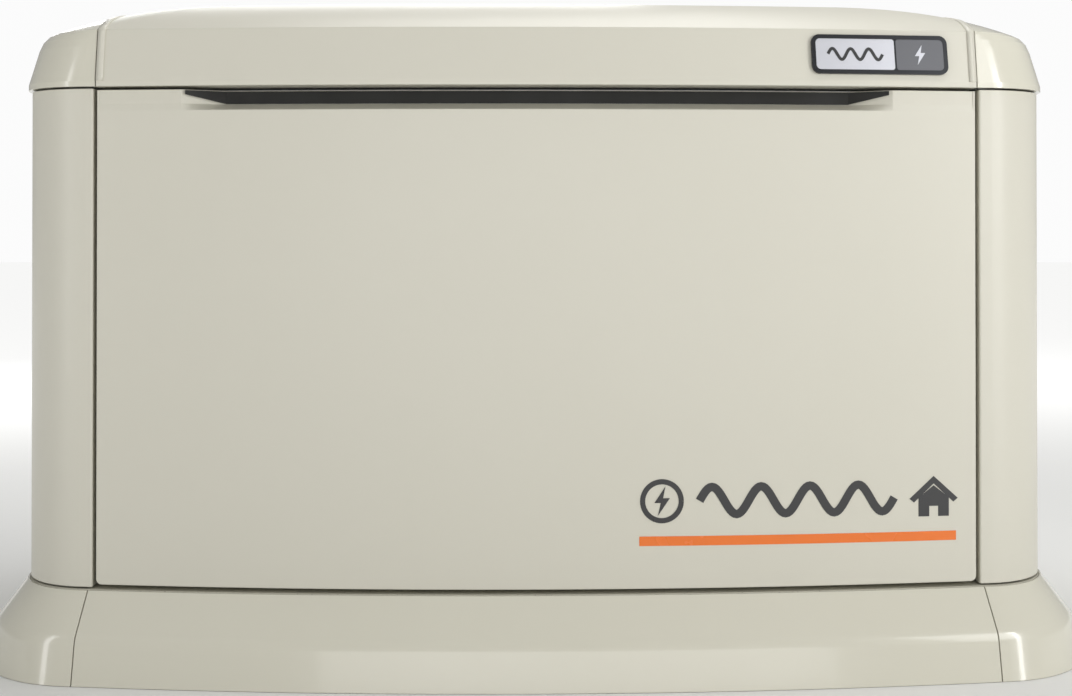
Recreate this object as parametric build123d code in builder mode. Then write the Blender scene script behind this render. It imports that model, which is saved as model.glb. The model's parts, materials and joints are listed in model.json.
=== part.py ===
"""Home standby generator: a sheet-metal enclosure on a moulded pad, with a V-twin engine and an
alternator inside. Millimetres. The origin is at the middle of the pad's underside, +Z is up, and
the front panel faces -Y."""

import os
from math import asin, atan2, cos, degrees, pi, radians, sin, sqrt, tan

from build123d import *

# ---- driving sizes -------------------------------------------------------------------------
# Enclosure, seen from above
body_length = 1128.0
body_front_y = -274.0
body_rear_y = 274.0
door_width = 943.0
door_bow = 30.0
corner_radius = 85.0
rear_corner_radius = 60.0
sheet = 2.5
fold_radius = 2.0

# Enclosure, heights
pad_height = 90.0
post_clearance = 2.0
body_top = 624.0
lid_clearance = 2.0
lid_band = 62.0
lid_crown = 44.0

# Gaps between outer pieces
door_gap = 4.5
seam_gap = 1.2
post_gap = 2.0

# Skirt round the pad
skirt_clearance = 1.0
skirt_crease = 46.0
skirt_reach = 45.0
skirt_wall = 4.0

# Front panel
door_clearance = 5.0
door_top_gap = 1.5
door_depth = 30.0
door_corner = 6.0
scoop_height = 22.0
scoop_depth = 25.0
scoop_rise = 7.0
scoop_top_half = 380.0
scoop_bottom_half = 338.0

# Top frame and gasket under the lid
frame_inset = 36.0
frame_width = 22.0
frame_height = 18.0
gasket_width = 12.0
gasket_clearance = 0.3

# Lid
lid_overhang = 4.0
lid_wall = 3.0
lid_flange = 52.0
lid_lip = 6.0
crease_inset_x = 24.0
crease_inset_y = 6.0
crown_reach_x = 265.0
crown_reach_y = 205.0
crown_power = 3.0
crown_corner = 60.0
crown_rear_corner = 45.0
foam_thickness = 14.0
foam_gap = 0.4
shoulder_steps = ((18.0, 7.0), (9.0, 11.0), (3.0, 17.0))

# Rear hinges
hinge_x = 330.0
hinge_length = 90.0
hinge_knuckle = 7.0
hinge_pin = 4.0
hinge_clearance = 0.06
hinge_leaf = 2.5

# Side locks
lock_y = 30.0
lock_drop = 52.0
lock_bore = 9.0
lock_housing_radius = 13.0
lock_clearance = 0.08
lock_plate = 2.0
lock_ear_span = 18.0
cam_length = 32.0
cam_width = 16.0
cam_thickness = 3.0
striker_width = 12.0
cover_pin = 1.5
strike_gap = 1.5

# Engine, on its cradle
mount_radius = 20.0
mount_height = 28.0
rail_height = 34.0
rail_width = 30.0
rail_wall = 4.0
rail_pitch = 170.0
cradle_left = -280.0
cradle_right = 220.0
mount_left = -250.0
mount_right = 180.0
axis_y = 45.0
axis_height = 138.0
shaft_radius = 20.0
shaft_clearance = 0.06
shaft_right = 192.0
crankcase_left = -100.0
crankcase_right = 110.0
crankcase_half = 105.0
crankcase_wall = 9.0
crank_throw = 33.0
web_radius = 58.0
web_width = 14.0
bore_radius = 45.0
deck_distance = 95.0
barrel_length = 80.0
fin_radius = 62.0
fin_count = 7
head_length = 40.0
head_width = 100.0
rocker_length = 30.0
front_cylinder_x = -16.0
rear_cylinder_x = 30.0
dipstick_x = 95.0
dipstick_y = -80.0
dipstick_top = 430.0
dipstick_length = 150.0
dipstick_radius = 3.0
dipstick_tube = 7.0
filter_x = -60.0
filter_radius = 34.0
filter_length = 78.0
starter_left = -20.0
starter_right = 105.0
starter_radius = 29.0

# Intake
mixer_half = 28.0
mixer_left = -28.0
mixer_right = 46.0
mixer_bottom = 425.0
runner_radius = 12.0
cleaner_bottom = 505.0
cleaner_height = 85.0
cleaner_left = -120.0
cleaner_right = 140.0
cleaner_front = -50.0
cleaner_rear = 150.0

# Cooling fan and its housing
fan_left = 125.0
fan_right = 188.0
fan_radius = 112.0
fan_blades = 16
blower_radius = 130.0
blower_wall = 4.0
blower_right = 205.0
blower_inlet = 82.0

# Alternator
stator_radius = 118.0
stator_bore = 78.0
stator_left = -270.0
stator_right = -150.0
air_gap = 1.0
alternator_left = -310.0
can_wall = 6.0

# Exhaust side
divider_x = 246.0
divider_clearance = 4.0
divider_rear = 254.0
muffler_left = 290.0
muffler_right = 500.0
muffler_front = -150.0
muffler_rear = 215.0
muffler_bottom = 170.0
muffler_top = 400.0
muffler_corner = 60.0
muffler_wall = 2.5
pipe_radius = 17.0
pipe_wall = 2.0
front_pipe_y = -110.0
rear_pipe_y = 190.0
front_pipe_z = 330.0
rear_pipe_z = 345.0
pipe_gap = 4.0

# Controls
control_left = -530.0
control_right = -190.0
control_front = -205.0
control_rear = -22.0
control_bottom = 430.0
control_brow = 520.0
control_top = 590.0
control_ledge = 90.0
control_wall = 2.0
leg_width = 30.0
leg_wall = 3.0
controller_x = -405.0
controller_length = 200.0
controller_height = 84.0
controller_depth = 14.0
button_radius = 7.0
button_clearance = 0.3
button_pitch = 30.0
button_proud = 3.0
button_travel = 1.5
breaker_x = -245.0
breaker_width = 46.0
breaker_height = 76.0
breaker_depth = 22.0
breaker_swing = 22.0
breaker_lever = 12.0

# Battery
battery_left = -524.0
battery_length = 206.0
battery_width = 170.0
battery_height = 190.0
battery_front = -200.0

# Fuel
regulator_width = 90.0
regulator_depth = 90.0
regulator_height = 90.0
regulator_rear = 225.0
diaphragm_radius = 40.0
hose_radius = 8.0
hose_end_z = 465.0

# Mounts
anchor_spacing_x = 1040.0
anchor_spacing_y = 440.0
anchor_hole = 6.5
fuel_bore = 12.5
conduit_bore = 17.5
entry_x = 400.0
entry_pitch = 90.0
entry_z = 150.0
entry_nose = 12.0
entry_boss = 14.0
utility_width = 200.0
utility_height = 90.0
utility_thickness = 4.0
screw_head = 6.5
screw_hole = 3.3

# Badge
badge_x = 365.0
badge_length = 150.0
badge_height = 43.0

# ---- worked out from those -----------------------------------------------------------------
post_bottom = pad_height + post_clearance
lid_bottom = body_top + lid_clearance
crease_height = lid_bottom + lid_band
lid_top = crease_height + lid_crown
skirt_top = pad_height - skirt_clearance
door_bottom = pad_height + door_clearance
lock_z = body_top - lock_drop
door_half = door_width / 2
bow_radius = (door_half**2 + door_bow**2) / (2 * door_bow)
bow_centre_y = body_front_y + bow_radius
divider_bow_y = bow_centre_y - sqrt(bow_radius**2 - divider_x**2)
divider_front = divider_bow_y + door_depth + divider_clearance
body_half = body_length / 2
side_inner = body_half - sheet
rear_inner = body_rear_y - sheet
post_inner_x = door_half + door_gap
side_panel_front = -138.0
side_panel_rear = body_rear_y - rear_corner_radius - 14.0
side_panel_middle = (side_panel_front + side_panel_rear) / 2
rear_panel_half = body_half - rear_corner_radius - 16.0
body_height = body_top - post_bottom
skirt_growth = 3.0
hinge_y = body_rear_y + lid_overhang + hinge_knuckle + 1.0
hinge_z = lid_bottom
lock_inner_end = body_half - 20.0
cam_x = lock_inner_end - 4.0
cover_x = body_half + 5.0
cover_z = lock_z + lock_housing_radius + 7.0
crankcase_bottom = pad_height + mount_height + rail_height
axis_z = crankcase_bottom + axis_height
deck_half = crankcase_half * sqrt(2) - deck_distance
head_start = deck_distance + barrel_length
rocker_start = head_start + head_length
slope = atan2(control_top - control_brow, control_rear - control_ledge - control_front)
slope_plane = Plane(
    origin=(
        controller_x,
        (control_front + control_rear - control_ledge) / 2,
        (control_brow + control_top) / 2,
    ),
    x_dir=(1, 0, 0),
    z_dir=(0, -sin(slope), cos(slope)),
)
slope_axis = Axis(slope_plane.origin, slope_plane.z_dir)
shaft_left = alternator_left - 12.0
entry_inner = body_rear_y - entry_boss
lid_seam_x = door_half + 0.5
skirt_seam_x = body_half - corner_radius
banks = ((front_cylinder_x, -45.0), (rear_cylinder_x, 45.0))


def save(part, name):
    """Labels a finished piece and writes it under its node's name."""
    part.part.label = name
    export_step(part.part, f"parts/{name}.step")


def corner_centre(grow_x, grow_y, corner):
    """Centre of the round front corner of a plan, and how far the bow leans where they meet."""
    centre_x = body_half + grow_x - corner
    reach = bow_radius + grow_y - corner
    centre_y = bow_centre_y - sqrt(reach**2 - centre_x**2)
    return centre_x, centre_y, degrees(asin(centre_x / reach))


def plan(grow_x=0.0, grow_y=None, corner=None, rear=None, mode=Mode.ADD):
    """The enclosure's plan with its bowed front, grown outwards, as a face in the open sketch."""
    grow_y = grow_x if grow_y is None else grow_y
    corner = corner_radius + grow_x if corner is None else corner
    rear = rear_corner_radius + grow_x if rear is None else rear
    half = body_half + grow_x
    back = body_rear_y + grow_y
    centre_x, centre_y, lean = corner_centre(grow_x, grow_y, corner)
    with BuildLine() as edge:
        CenterArc((0, bow_centre_y), bow_radius + grow_y, -90 - lean, 2 * lean)
        CenterArc((centre_x, centre_y), corner, -90 + lean, 90 - lean)
        Line((half, centre_y), (half, back - rear))
        CenterArc((half - rear, back - rear), rear, 0, 90)
        Line((half - rear, back), (rear - half, back))
        CenterArc((rear - half, back - rear), rear, 90, 90)
        Line((-half, back - rear), (-half, centre_y))
        CenterArc((-centre_x, centre_y), corner, 180, 90 - lean)
    make_face(edge.edges(), mode=mode)


def bow_y(x, grow=0.0):
    """Y of the bowed front at a given X."""
    return bow_centre_y - sqrt((bow_radius + grow) ** 2 - x**2)


# ---- pad and skirt -------------------------------------------------------------------------
def mounting_pad():
    """Moulded pad, ribbed and open underneath, with four anchor bosses and a raised rim."""
    rim, deck, rib = 8.0, 12.0, 6.0
    with BuildPart() as pad:
        with BuildSketch():
            plan(1.0)
        extrude(amount=pad_height)
        with BuildSketch():
            plan(-rim)
        extrude(amount=pad_height - deck, mode=Mode.SUBTRACT)
        with BuildSketch():
            with GridLocations(0, 100, 1, 5):
                Rectangle(body_length - 2 * rim, rib)
            with GridLocations(112, 0, 9, 1):
                Rectangle(rib, 500)
            plan(-rim, mode=Mode.INTERSECT)
        extrude(amount=pad_height - deck)
        with BuildSketch():
            with GridLocations(anchor_spacing_x, anchor_spacing_y, 2, 2):
                Circle(20)
            plan(-rim / 2, mode=Mode.INTERSECT)
        extrude(amount=pad_height - deck)
        with BuildSketch():
            with GridLocations(anchor_spacing_x, anchor_spacing_y, 2, 2):
                Circle(anchor_hole)
        extrude(amount=pad_height, mode=Mode.SUBTRACT)
    save(pad, "mounting_pad")


def skirt_profile():
    """Section of the skirt: X is outwards from the enclosure's plan and Y is downwards."""
    shoulder = skirt_reach - 9.0
    inner = skirt_reach - skirt_wall
    with BuildLine() as edge:
        outer = FilletPolyline(
            (skirt_growth, -skirt_top),
            (shoulder, -skirt_crease),
            (skirt_reach, 0),
            radius=26,
        )
        Polyline(outer @ 1, (inner, 0), (shoulder - skirt_wall, -skirt_crease + 2))
        Polyline(
            (shoulder - skirt_wall, -skirt_crease + 2),
            (skirt_growth - 1.6, -skirt_top + 3),
            (skirt_growth - 1.6, -skirt_top),
            outer @ 0,
        )
    make_face(edge.edges())


def skirt_piece(route):
    """The skirt's section carried along one stretch of the plan."""
    start, along = route.line @ 0, route.line % 0
    outwards = along.cross(Vector(0, 0, 1))
    with BuildPart() as piece:
        with BuildSketch(Plane(origin=start, x_dir=outwards, z_dir=along)):
            skirt_profile()
        sweep(path=route.line)
    return piece


def mirrored(piece):
    """The same piece on the other side of the enclosure's middle."""
    with BuildPart() as other:
        add(mirror(piece.part, about=Plane.YZ))
    return other


def pair(piece):
    """The piece and its mirror image as two separate solids of one node."""
    with BuildPart() as both:
        add(piece.part)
        add(mirror(piece.part, about=Plane.YZ))
    return both


def skirt():
    """Eight snap-on skirt mouldings: four sides and four corners."""
    seam = degrees(asin(skirt_seam_x / bow_radius))
    gap = degrees(seam_gap / bow_radius)
    centre_x, centre_y, lean = corner_centre(0, 0, corner_radius)
    back = body_rear_y - rear_corner_radius
    front_end, rear_start = centre_y + 12.0, back - 12.0
    rear_x = body_half - rear_corner_radius

    with BuildLine() as front_route:
        CenterArc((0, bow_centre_y), bow_radius, -90 - seam, 2 * seam)
    save(skirt_piece(front_route), "skirt_front")

    with BuildLine() as corner_route:
        CenterArc((0, bow_centre_y), bow_radius, -90 + seam + gap, lean - seam - gap)
        CenterArc((centre_x, centre_y), corner_radius, -90 + lean, 90 - lean)
        Line((body_half, centre_y), (body_half, front_end))
    corner = skirt_piece(corner_route)
    save(corner, "skirt_corner_front_right")
    save(mirrored(corner), "skirt_corner_front_left")

    with BuildLine() as side_route:
        Line((body_half, front_end + seam_gap), (body_half, rear_start))
    side = skirt_piece(side_route)
    save(pair(side), "skirt_sides")

    with BuildLine() as rear_corner_route:
        Line((body_half, rear_start + seam_gap), (body_half, back))
        CenterArc((rear_x, back), rear_corner_radius, 0, 90)
        Line((rear_x, body_rear_y), (rear_x - 12.0, body_rear_y))
    rear_corner = skirt_piece(rear_corner_route)
    save(pair(rear_corner), "skirt_corners_rear")

    end = rear_x - 12.0 - seam_gap
    with BuildLine() as rear_route:
        Line((end, body_rear_y), (-end, body_rear_y))
    save(skirt_piece(rear_route), "skirt_rear")


# ---- enclosure -----------------------------------------------------------------------------
def wall_ring():
    """A strip one sheet thick that follows the plan, in the open sketch."""
    plan(0)
    plan(-sheet, mode=Mode.SUBTRACT)


def corner_posts():
    """Four rounded corner posts with inward flanges along both edges."""
    lip = door_depth + 5.0
    front_y = bow_y(post_inner_x) + 1.0
    with BuildPart() as front_post:
        with BuildSketch(Plane.XY.offset(post_bottom)):
            wall_ring()
            with Locations((body_half, body_front_y)):
                Rectangle(
                    2 * (body_half - post_inner_x),
                    2 * (side_panel_front - post_gap - body_front_y),
                    mode=Mode.INTERSECT,
                )
            with Locations((post_inner_x, front_y)):
                Rectangle(sheet, lip, align=(Align.MIN, Align.MIN))
            with Locations((body_half - sheet / 2, side_panel_front - post_gap)):
                Rectangle(20, sheet, align=(Align.MAX, Align.MAX))
        extrude(amount=body_height)
        folds = front_post.edges().filter_by(Axis.Z)
        edge_place = (post_inner_x, bow_y(post_inner_x), post_bottom + body_height / 2)
        fillet(folds.sort_by_distance(edge_place)[0], fold_radius)
    save(front_post, "post_front_right")
    save(mirrored(front_post), "post_front_left")

    with BuildPart() as rear_post:
        with BuildSketch(Plane.XY.offset(post_bottom)):
            wall_ring()
            with Locations((body_half, body_rear_y)):
                Rectangle(
                    2 * (body_half - rear_panel_half - post_gap),
                    2 * (body_rear_y - side_panel_rear - post_gap),
                    mode=Mode.INTERSECT,
                )
            with Locations((rear_panel_half + post_gap, body_rear_y - frame_inset)):
                Rectangle(sheet, frame_inset - sheet / 2, align=Align.MIN)
            with Locations((body_half - sheet / 2, side_panel_rear + post_gap)):
                Rectangle(20, sheet, align=(Align.MAX, Align.MIN))
        extrude(amount=body_height)
    save(pair(rear_post), "posts_rear")


def louvre_bank(section, rows, pitch, length):
    """Presses a column of louvres into the open part. Section is a plane whose X points out of the
    panel and whose Y points up, at the column's start; the louvres run along its normal."""
    stand, drop, slot, wall = 9.0, 16.0, 9.0, 1.5
    first = -pitch * (rows - 1) / 2
    with BuildSketch(section) as hoods:
        with Locations([(0, first + pitch * row) for row in range(rows)]):
            Polygon((0, drop), (0, 0), (stand, 0), (stand, 2.5), align=None)
    extrude(hoods.sketch, amount=length)
    with BuildSketch(section.offset(wall)) as slots:
        with Locations([(0, first + pitch * row) for row in range(rows)]):
            Polygon(
                (-sheet - 1, 0), (0, 0), (0, -1), (stand - wall, -1), (stand - wall, 2.3),
                (0.8, drop - 2.6), (0, slot), (-sheet - 1, slot), align=None,
            )
    extrude(slots.sketch, amount=length - 2 * wall, mode=Mode.SUBTRACT)


def folded_panel(face, width, height, fold=13.0):
    """A flat panel with a fold along its top and bottom edges. Face is its outer plane."""
    with BuildSketch(face) as skin:
        Rectangle(width, height)
    extrude(skin.sketch, amount=-sheet)
    with BuildSketch(face.offset(-sheet)) as folds:
        with GridLocations(0, height - sheet, 1, 2):
            Rectangle(width, sheet)
    extrude(folds.sketch, amount=-fold)


def screw_places(width, height):
    """Where the screws go along both upright edges of a panel."""
    return GridLocations(width - 24.0, (height - 60.0) / 3, 2, 4)


side_width = side_panel_rear - side_panel_front
side_face = Plane(
    origin=(body_half, side_panel_middle, post_bottom + body_height / 2),
    x_dir=(0, 1, 0),
    z_dir=(1, 0, 0),
)
rear_width = 2 * rear_panel_half
rear_face = Plane(
    origin=(0, body_rear_y, post_bottom + body_height / 2), x_dir=(-1, 0, 0), z_dir=(0, 1, 0)
)


def side_panels():
    """Louvred side panels: hot-air discharge on the right and air intake on the left."""
    louvre_length = 132.0
    with BuildPart() as discharge:
        folded_panel(side_face, side_width, body_height)
        for middle in (side_panel_middle - 76.0, side_panel_middle + 76.0):
            start = Vector(body_half, middle + louvre_length / 2, 320.0)
            louvre_bank(Plane(origin=start, x_dir=(1, 0, 0), z_dir=(0, -1, 0)), 12, 33.0, louvre_length)
        with BuildSketch(side_face):
            with screw_places(side_width, body_height):
                Circle(screw_hole)
            with Locations(side_face.to_local_coords(Vector(body_half, lock_y, lock_z))):
                Circle(lock_housing_radius)
        extrude(amount=-sheet, mode=Mode.SUBTRACT)
    save(discharge, "side_panel_discharge")
    save(mirrored(discharge), "side_panel_intake")


def rear_panel():
    """Rear panel with two louvre banks above and the opening for the utility plate below."""
    louvre_length = 190.0
    with BuildPart() as rear:
        folded_panel(rear_face, rear_width, body_height)
        for middle in (-330.0, -110.0, 110.0, 330.0):
            start = Vector(middle - louvre_length / 2, body_rear_y, 435.0)
            louvre_bank(Plane(origin=start, x_dir=(0, 1, 0), z_dir=(1, 0, 0)), 7, 33.0, louvre_length)
        with BuildSketch(rear_face):
            with screw_places(rear_width, body_height):
                Circle(screw_hole)
            with Locations((entry_x - entry_pitch / 2, entry_z - rear_face.origin.Z)):
                Rectangle(utility_width - 30, utility_height - 30)
        extrude(amount=-sheet, mode=Mode.SUBTRACT)
    save(rear, "rear_panel")


def utility_plate():
    """Cast plate on the rear with the threaded fuel inlet and the conduit entry."""
    middle = Vector(-entry_x + entry_pitch / 2, body_rear_y, entry_z)
    face = Plane(origin=middle, x_dir=(-1, 0, 0), z_dir=(0, 1, 0))
    with BuildPart() as plate:
        with BuildSketch(face):
            RectangleRounded(utility_width, utility_height, 8)
        extrude(amount=utility_thickness)
        with BuildSketch(face):
            with Locations((entry_pitch / 2, 0)):
                Circle(fuel_bore + 6)
            with Locations((-entry_pitch / 2, 0)):
                Circle(conduit_bore + 5)
        extrude(amount=-entry_boss, mode=Mode.ADD)
        with BuildSketch(face.offset(utility_thickness)):
            with Locations((entry_pitch / 2, 0)):
                RegularPolygon(fuel_bore + 5, 6)
        extrude(amount=entry_nose)
        with BuildSketch(face.offset(utility_thickness)):
            with Locations((-entry_pitch / 2, 0)):
                Circle(conduit_bore + 4)
        extrude(amount=entry_nose)
        with BuildSketch(face.offset(utility_thickness + entry_nose)):
            with Locations((entry_pitch / 2, 0)):
                Circle(fuel_bore)
            with Locations((-entry_pitch / 2, 0)):
                Circle(conduit_bore)
        extrude(amount=-(utility_thickness + entry_nose + entry_boss), mode=Mode.SUBTRACT)
        with BuildSketch(face):
            with GridLocations(utility_width - 14, utility_height - 14, 2, 2):
                Circle(2.2)
        extrude(amount=utility_thickness, mode=Mode.SUBTRACT)
    save(plate, "utility_plate")


# ---- front panel ---------------------------------------------------------------------------
def panel_section(angle, scoop):
    """Upright section of the front panel at an angle round the bow's centre, as a face. Its X is
    outwards. Scoop is how deep the finger recess is there."""
    outwards = Vector(sin(angle), -cos(angle), 0)
    plane = Plane(
        origin=Vector(0, bow_centre_y, 0) + outwards * bow_radius,
        x_dir=outwards,
        z_dir=outwards.cross(Vector(0, 0, 1)),
    )
    low, high = door_bottom, body_top - door_top_gap
    lip = high - scoop_height
    floor = lip + scoop_rise
    wall = sheet
    with BuildSketch(plane) as section:
        with BuildLine():
            Polyline(
                (0, low), (0, lip), (-scoop, floor), (-scoop, high), (-door_depth, high),
                (-door_depth, high - wall), (-scoop - wall, high - wall),
                (-scoop - wall, floor - wall), (-wall, lip - wall), (-wall, low + wall),
                (-door_depth, low + wall), (-door_depth, low), close=True,
            )
        make_face()
    return section.sketch


def front_panel():
    """Lift-off front panel: a bowed tray with a long finger recess along its top edge."""
    past_end = asin((door_half + sheet) / bow_radius)
    ramp_end = asin(scoop_top_half / bow_radius)
    ramp_start = asin(scoop_bottom_half / bow_radius)
    axis = Axis((0, bow_centre_y, 0), (0, 0, 1))
    height = body_top - door_top_gap - door_bottom
    with BuildPart() as panel:
        revolve(panel_section(-ramp_start, scoop_depth), axis=axis, revolution_arc=degrees(2 * ramp_start))
        for side in (-1, 1):
            shallow = panel_section(side * ramp_end, 0.8)
            loft([panel_section(side * ramp_start, scoop_depth), shallow], ruled=True)
            first = min(side * ramp_end, side * past_end)
            revolve(panel_section(first, 0.8), axis=axis, revolution_arc=degrees(past_end - ramp_end))
        with BuildSketch(Plane.XY.offset(door_bottom)):
            with Locations((0, body_front_y)):
                Rectangle(door_width, 2 * door_depth + 2 * door_bow, align=Align.CENTER)
        extrude(amount=height, mode=Mode.INTERSECT)
        for side in (-1, 1):
            with BuildSketch(Plane.XY.offset(door_bottom)):
                with Locations((side * (door_half - sheet / 2), bow_y(door_half))):
                    Rectangle(sheet, door_depth, align=(Align.CENTER, Align.MIN))
            extrude(amount=height)
        corners = panel.edges().filter_by(Axis.Y).group_by(Axis.Z)[0]
        fillet(corners.filter_by(lambda edge: abs(edge.center().X) > door_half - 0.1), door_corner)
    save(panel, "front_panel")


# ---- top frame and lid ---------------------------------------------------------------------
def ring(z, outer, inner, height):
    """A flat ring that follows the plan, from outer to inner inset, added to the open part."""
    with BuildSketch(Plane.XY.offset(z)) as strip:
        plan(-outer)
        plan(-inner, mode=Mode.SUBTRACT)
    extrude(strip.sketch, amount=height)


def top_frame():
    """Angle-section frame round the opening, which the posts carry and the gasket sits on."""
    with BuildPart() as frame:
        ring(body_top - frame_height, frame_inset, frame_inset + sheet, frame_height)
        ring(body_top - sheet, frame_inset, frame_inset + frame_width, sheet)
    save(frame, "top_frame")
    with BuildPart() as gasket:
        start = frame_inset + 2.0
        ring(body_top, start, start + gasket_width, lid_bottom - body_top - gasket_clearance)
    save(gasket, "lid_gasket")


def lid_section(share, shrink):
    """One level of the lid's crown as a face: share 0 is at the crease and 1 is the flat top."""
    inset_x = crease_inset_x + crown_reach_x * share + shrink
    inset_y = crease_inset_y + crown_reach_y * share + shrink
    rise = (lid_top - crease_height) * (1 - (1 - share) ** crown_power)
    corner = corner_radius + (crown_corner - corner_radius) * share - shrink
    rear = rear_corner_radius + (crown_rear_corner - rear_corner_radius) * share - shrink
    with BuildSketch(Plane.XY.offset(crease_height + rise - shrink)) as level:
        plan(-inset_x, -inset_y, corner=corner, rear=rear)
    return level.sketch


def lid_shoulder(drop, inset_x, shrink):
    """One level of the lid's round shoulder as a face, at a drop below the crease."""
    band_height = crease_height - lid_bottom - lid_lip
    inset_y = crease_inset_y - (crease_inset_y + lid_overhang) * drop / band_height
    with BuildSketch(Plane.XY.offset(crease_height - drop - shrink * 0.6)) as level:
        plan(
            -inset_x - shrink,
            -inset_y - shrink,
            corner=corner_radius - shrink,
            rear=rear_corner_radius - shrink,
        )
    return level.sketch


def lid_form(shrink):
    """The solid shape of the whole lid, moved inwards by shrink, in a builder of its own."""
    grow = lid_overhang - shrink
    levels = [lid_section(share, shrink) for share in (0.0, 0.12, 0.3, 0.55, 0.8, 1.0)]
    shoulders = [lid_shoulder(drop, inset, shrink) for drop, inset in shoulder_steps]
    with BuildSketch(Plane.XY.offset(lid_bottom)) as lip:
        plan(grow, grow)
    with BuildSketch(Plane.XY.offset(lid_bottom + lid_lip)) as band:
        plan(grow, grow, corner=corner_radius + grow, rear=rear_corner_radius + grow)
    with BuildPart() as form:
        extrude(lip.sketch, amount=lid_lip)
        loft([band.sketch, *shoulders, levels[0]], ruled=True)
        loft(levels)
    return form.part


def slab(x_from, x_to):
    """Everything between two planes across the enclosure's length."""
    height = lid_top - lid_bottom + 20
    middle = ((x_from + x_to) / 2, 0, lid_bottom - 10)
    with BuildPart() as between:
        with Locations(middle):
            Box(x_to - x_from, 800, height, align=(Align.CENTER, Align.CENTER, Align.MIN))
    return between.part


def lid():
    """Crowned lid: a sheet roof between two moulded end caps, with a turned-in edge and foam."""
    outer, inner = lid_form(0), lid_form(lid_wall)
    with BuildPart() as shell:
        add(outer)
        add(inner, mode=Mode.SUBTRACT)
        ring(lid_bottom, -lid_overhang + lid_wall, lid_flange, sheet)
    with BuildPart() as roof:
        add(shell.part)
        add(slab(-lid_seam_x, lid_seam_x), mode=Mode.INTERSECT)
    save(roof, "lid_roof")
    with BuildPart() as cap:
        add(shell.part)
        add(slab(lid_seam_x + seam_gap, 700), mode=Mode.INTERSECT)
    save(cap, "lid_end_cap_right")
    save(mirrored(cap), "lid_end_cap_left")
    with BuildPart() as foam:
        add(lid_form(lid_wall + foam_gap))
        add(lid_form(lid_wall + foam_gap + foam_thickness), mode=Mode.SUBTRACT)
        add(slab(-lid_seam_x + 10, lid_seam_x - 10), mode=Mode.INTERSECT)
        with Locations((0, 0, crease_height - 12)):
            Box(1200, 700, 200, align=(Align.CENTER, Align.CENTER, Align.MAX), mode=Mode.SUBTRACT)
    save(foam, "lid_foam")


def band_y(z):
    """Y of the lid's rear face at a given height."""
    share = (z - lid_bottom - lid_lip) / (crease_height - lid_bottom - lid_lip)
    return body_rear_y + lid_overhang - (crease_inset_y + lid_overhang) * share


def hinge_section(outline, x_from, x_to, knuckles, name):
    """Two hinge leaves: an outline in YZ over the leaf's length, and knuckles round the axis."""
    with BuildPart() as leaf:
        with BuildSketch(Plane.YZ.offset(hinge_x + x_from)) as plate:
            Polygon(*outline, align=None)
        extrude(plate.sketch, amount=x_to - x_from)
        for start, end, web in knuckles:
            with BuildSketch(Plane.YZ.offset(hinge_x + start)) as knuckle:
                Polygon(*web, align=None)
                with Locations((hinge_y, hinge_z)):
                    Circle(hinge_knuckle)
            extrude(knuckle.sketch, amount=end - start)
        with BuildSketch(Plane.YZ.offset(hinge_x - hinge_length)) as bore:
            with Locations((hinge_y, hinge_z)):
                Circle(hinge_pin + hinge_clearance)
        extrude(bore.sketch, amount=2 * hinge_length, mode=Mode.SUBTRACT)
    save(pair(leaf), name)


def hinges():
    """Two rear hinges: body leaf with outer knuckles, lid leaf with the middle one, and a pin."""
    half = hinge_length / 2
    third = hinge_length / 6
    low, top = body_top - 52.0, body_top - 8.0
    outer = body_rear_y + hinge_leaf
    body_web = ((outer, top - 8), (outer, top), (hinge_y - 3, hinge_z + 1), (hinge_y + 6, hinge_z - 3))
    hinge_section(
        ((body_rear_y, low), (outer, low), (outer, top), (body_rear_y, top)),
        -half, half,
        ((-half, -third - 0.5, body_web), (third + 0.5, half, body_web)),
        "hinge_body_leaves",
    )
    foot, head = lid_bottom + 13.0, crease_height - 8.0
    face_gap = 0.05
    near = [(band_y(z) + face_gap, z) for z in (foot, head)]
    far = [(y + hinge_leaf, z) for y, z in near]
    lid_web = (
        near[0],
        (hinge_y - 6, hinge_z + 3),
        (hinge_y + 6, hinge_z + 2),
        (far[0][0] + 1, foot + 6),
        far[0],
    )
    hinge_section(
        (near[0], far[0], far[1], near[1]),
        -half, half,
        ((-third, third, lid_web),),
        "hinge_lid_leaves",
    )
    with BuildPart() as pin:
        with BuildSketch(Plane.YZ.offset(hinge_x - half - 1)):
            with Locations((hinge_y, hinge_z)):
                Circle(hinge_pin)
        extrude(amount=hinge_length + 2)
        with BuildSketch(Plane.YZ.offset(hinge_x - half - 3)):
            with Locations((hinge_y, hinge_z)):
                Circle(hinge_pin + 2)
        extrude(amount=2.5)
    save(pair(pin), "hinge_pins")


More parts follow.
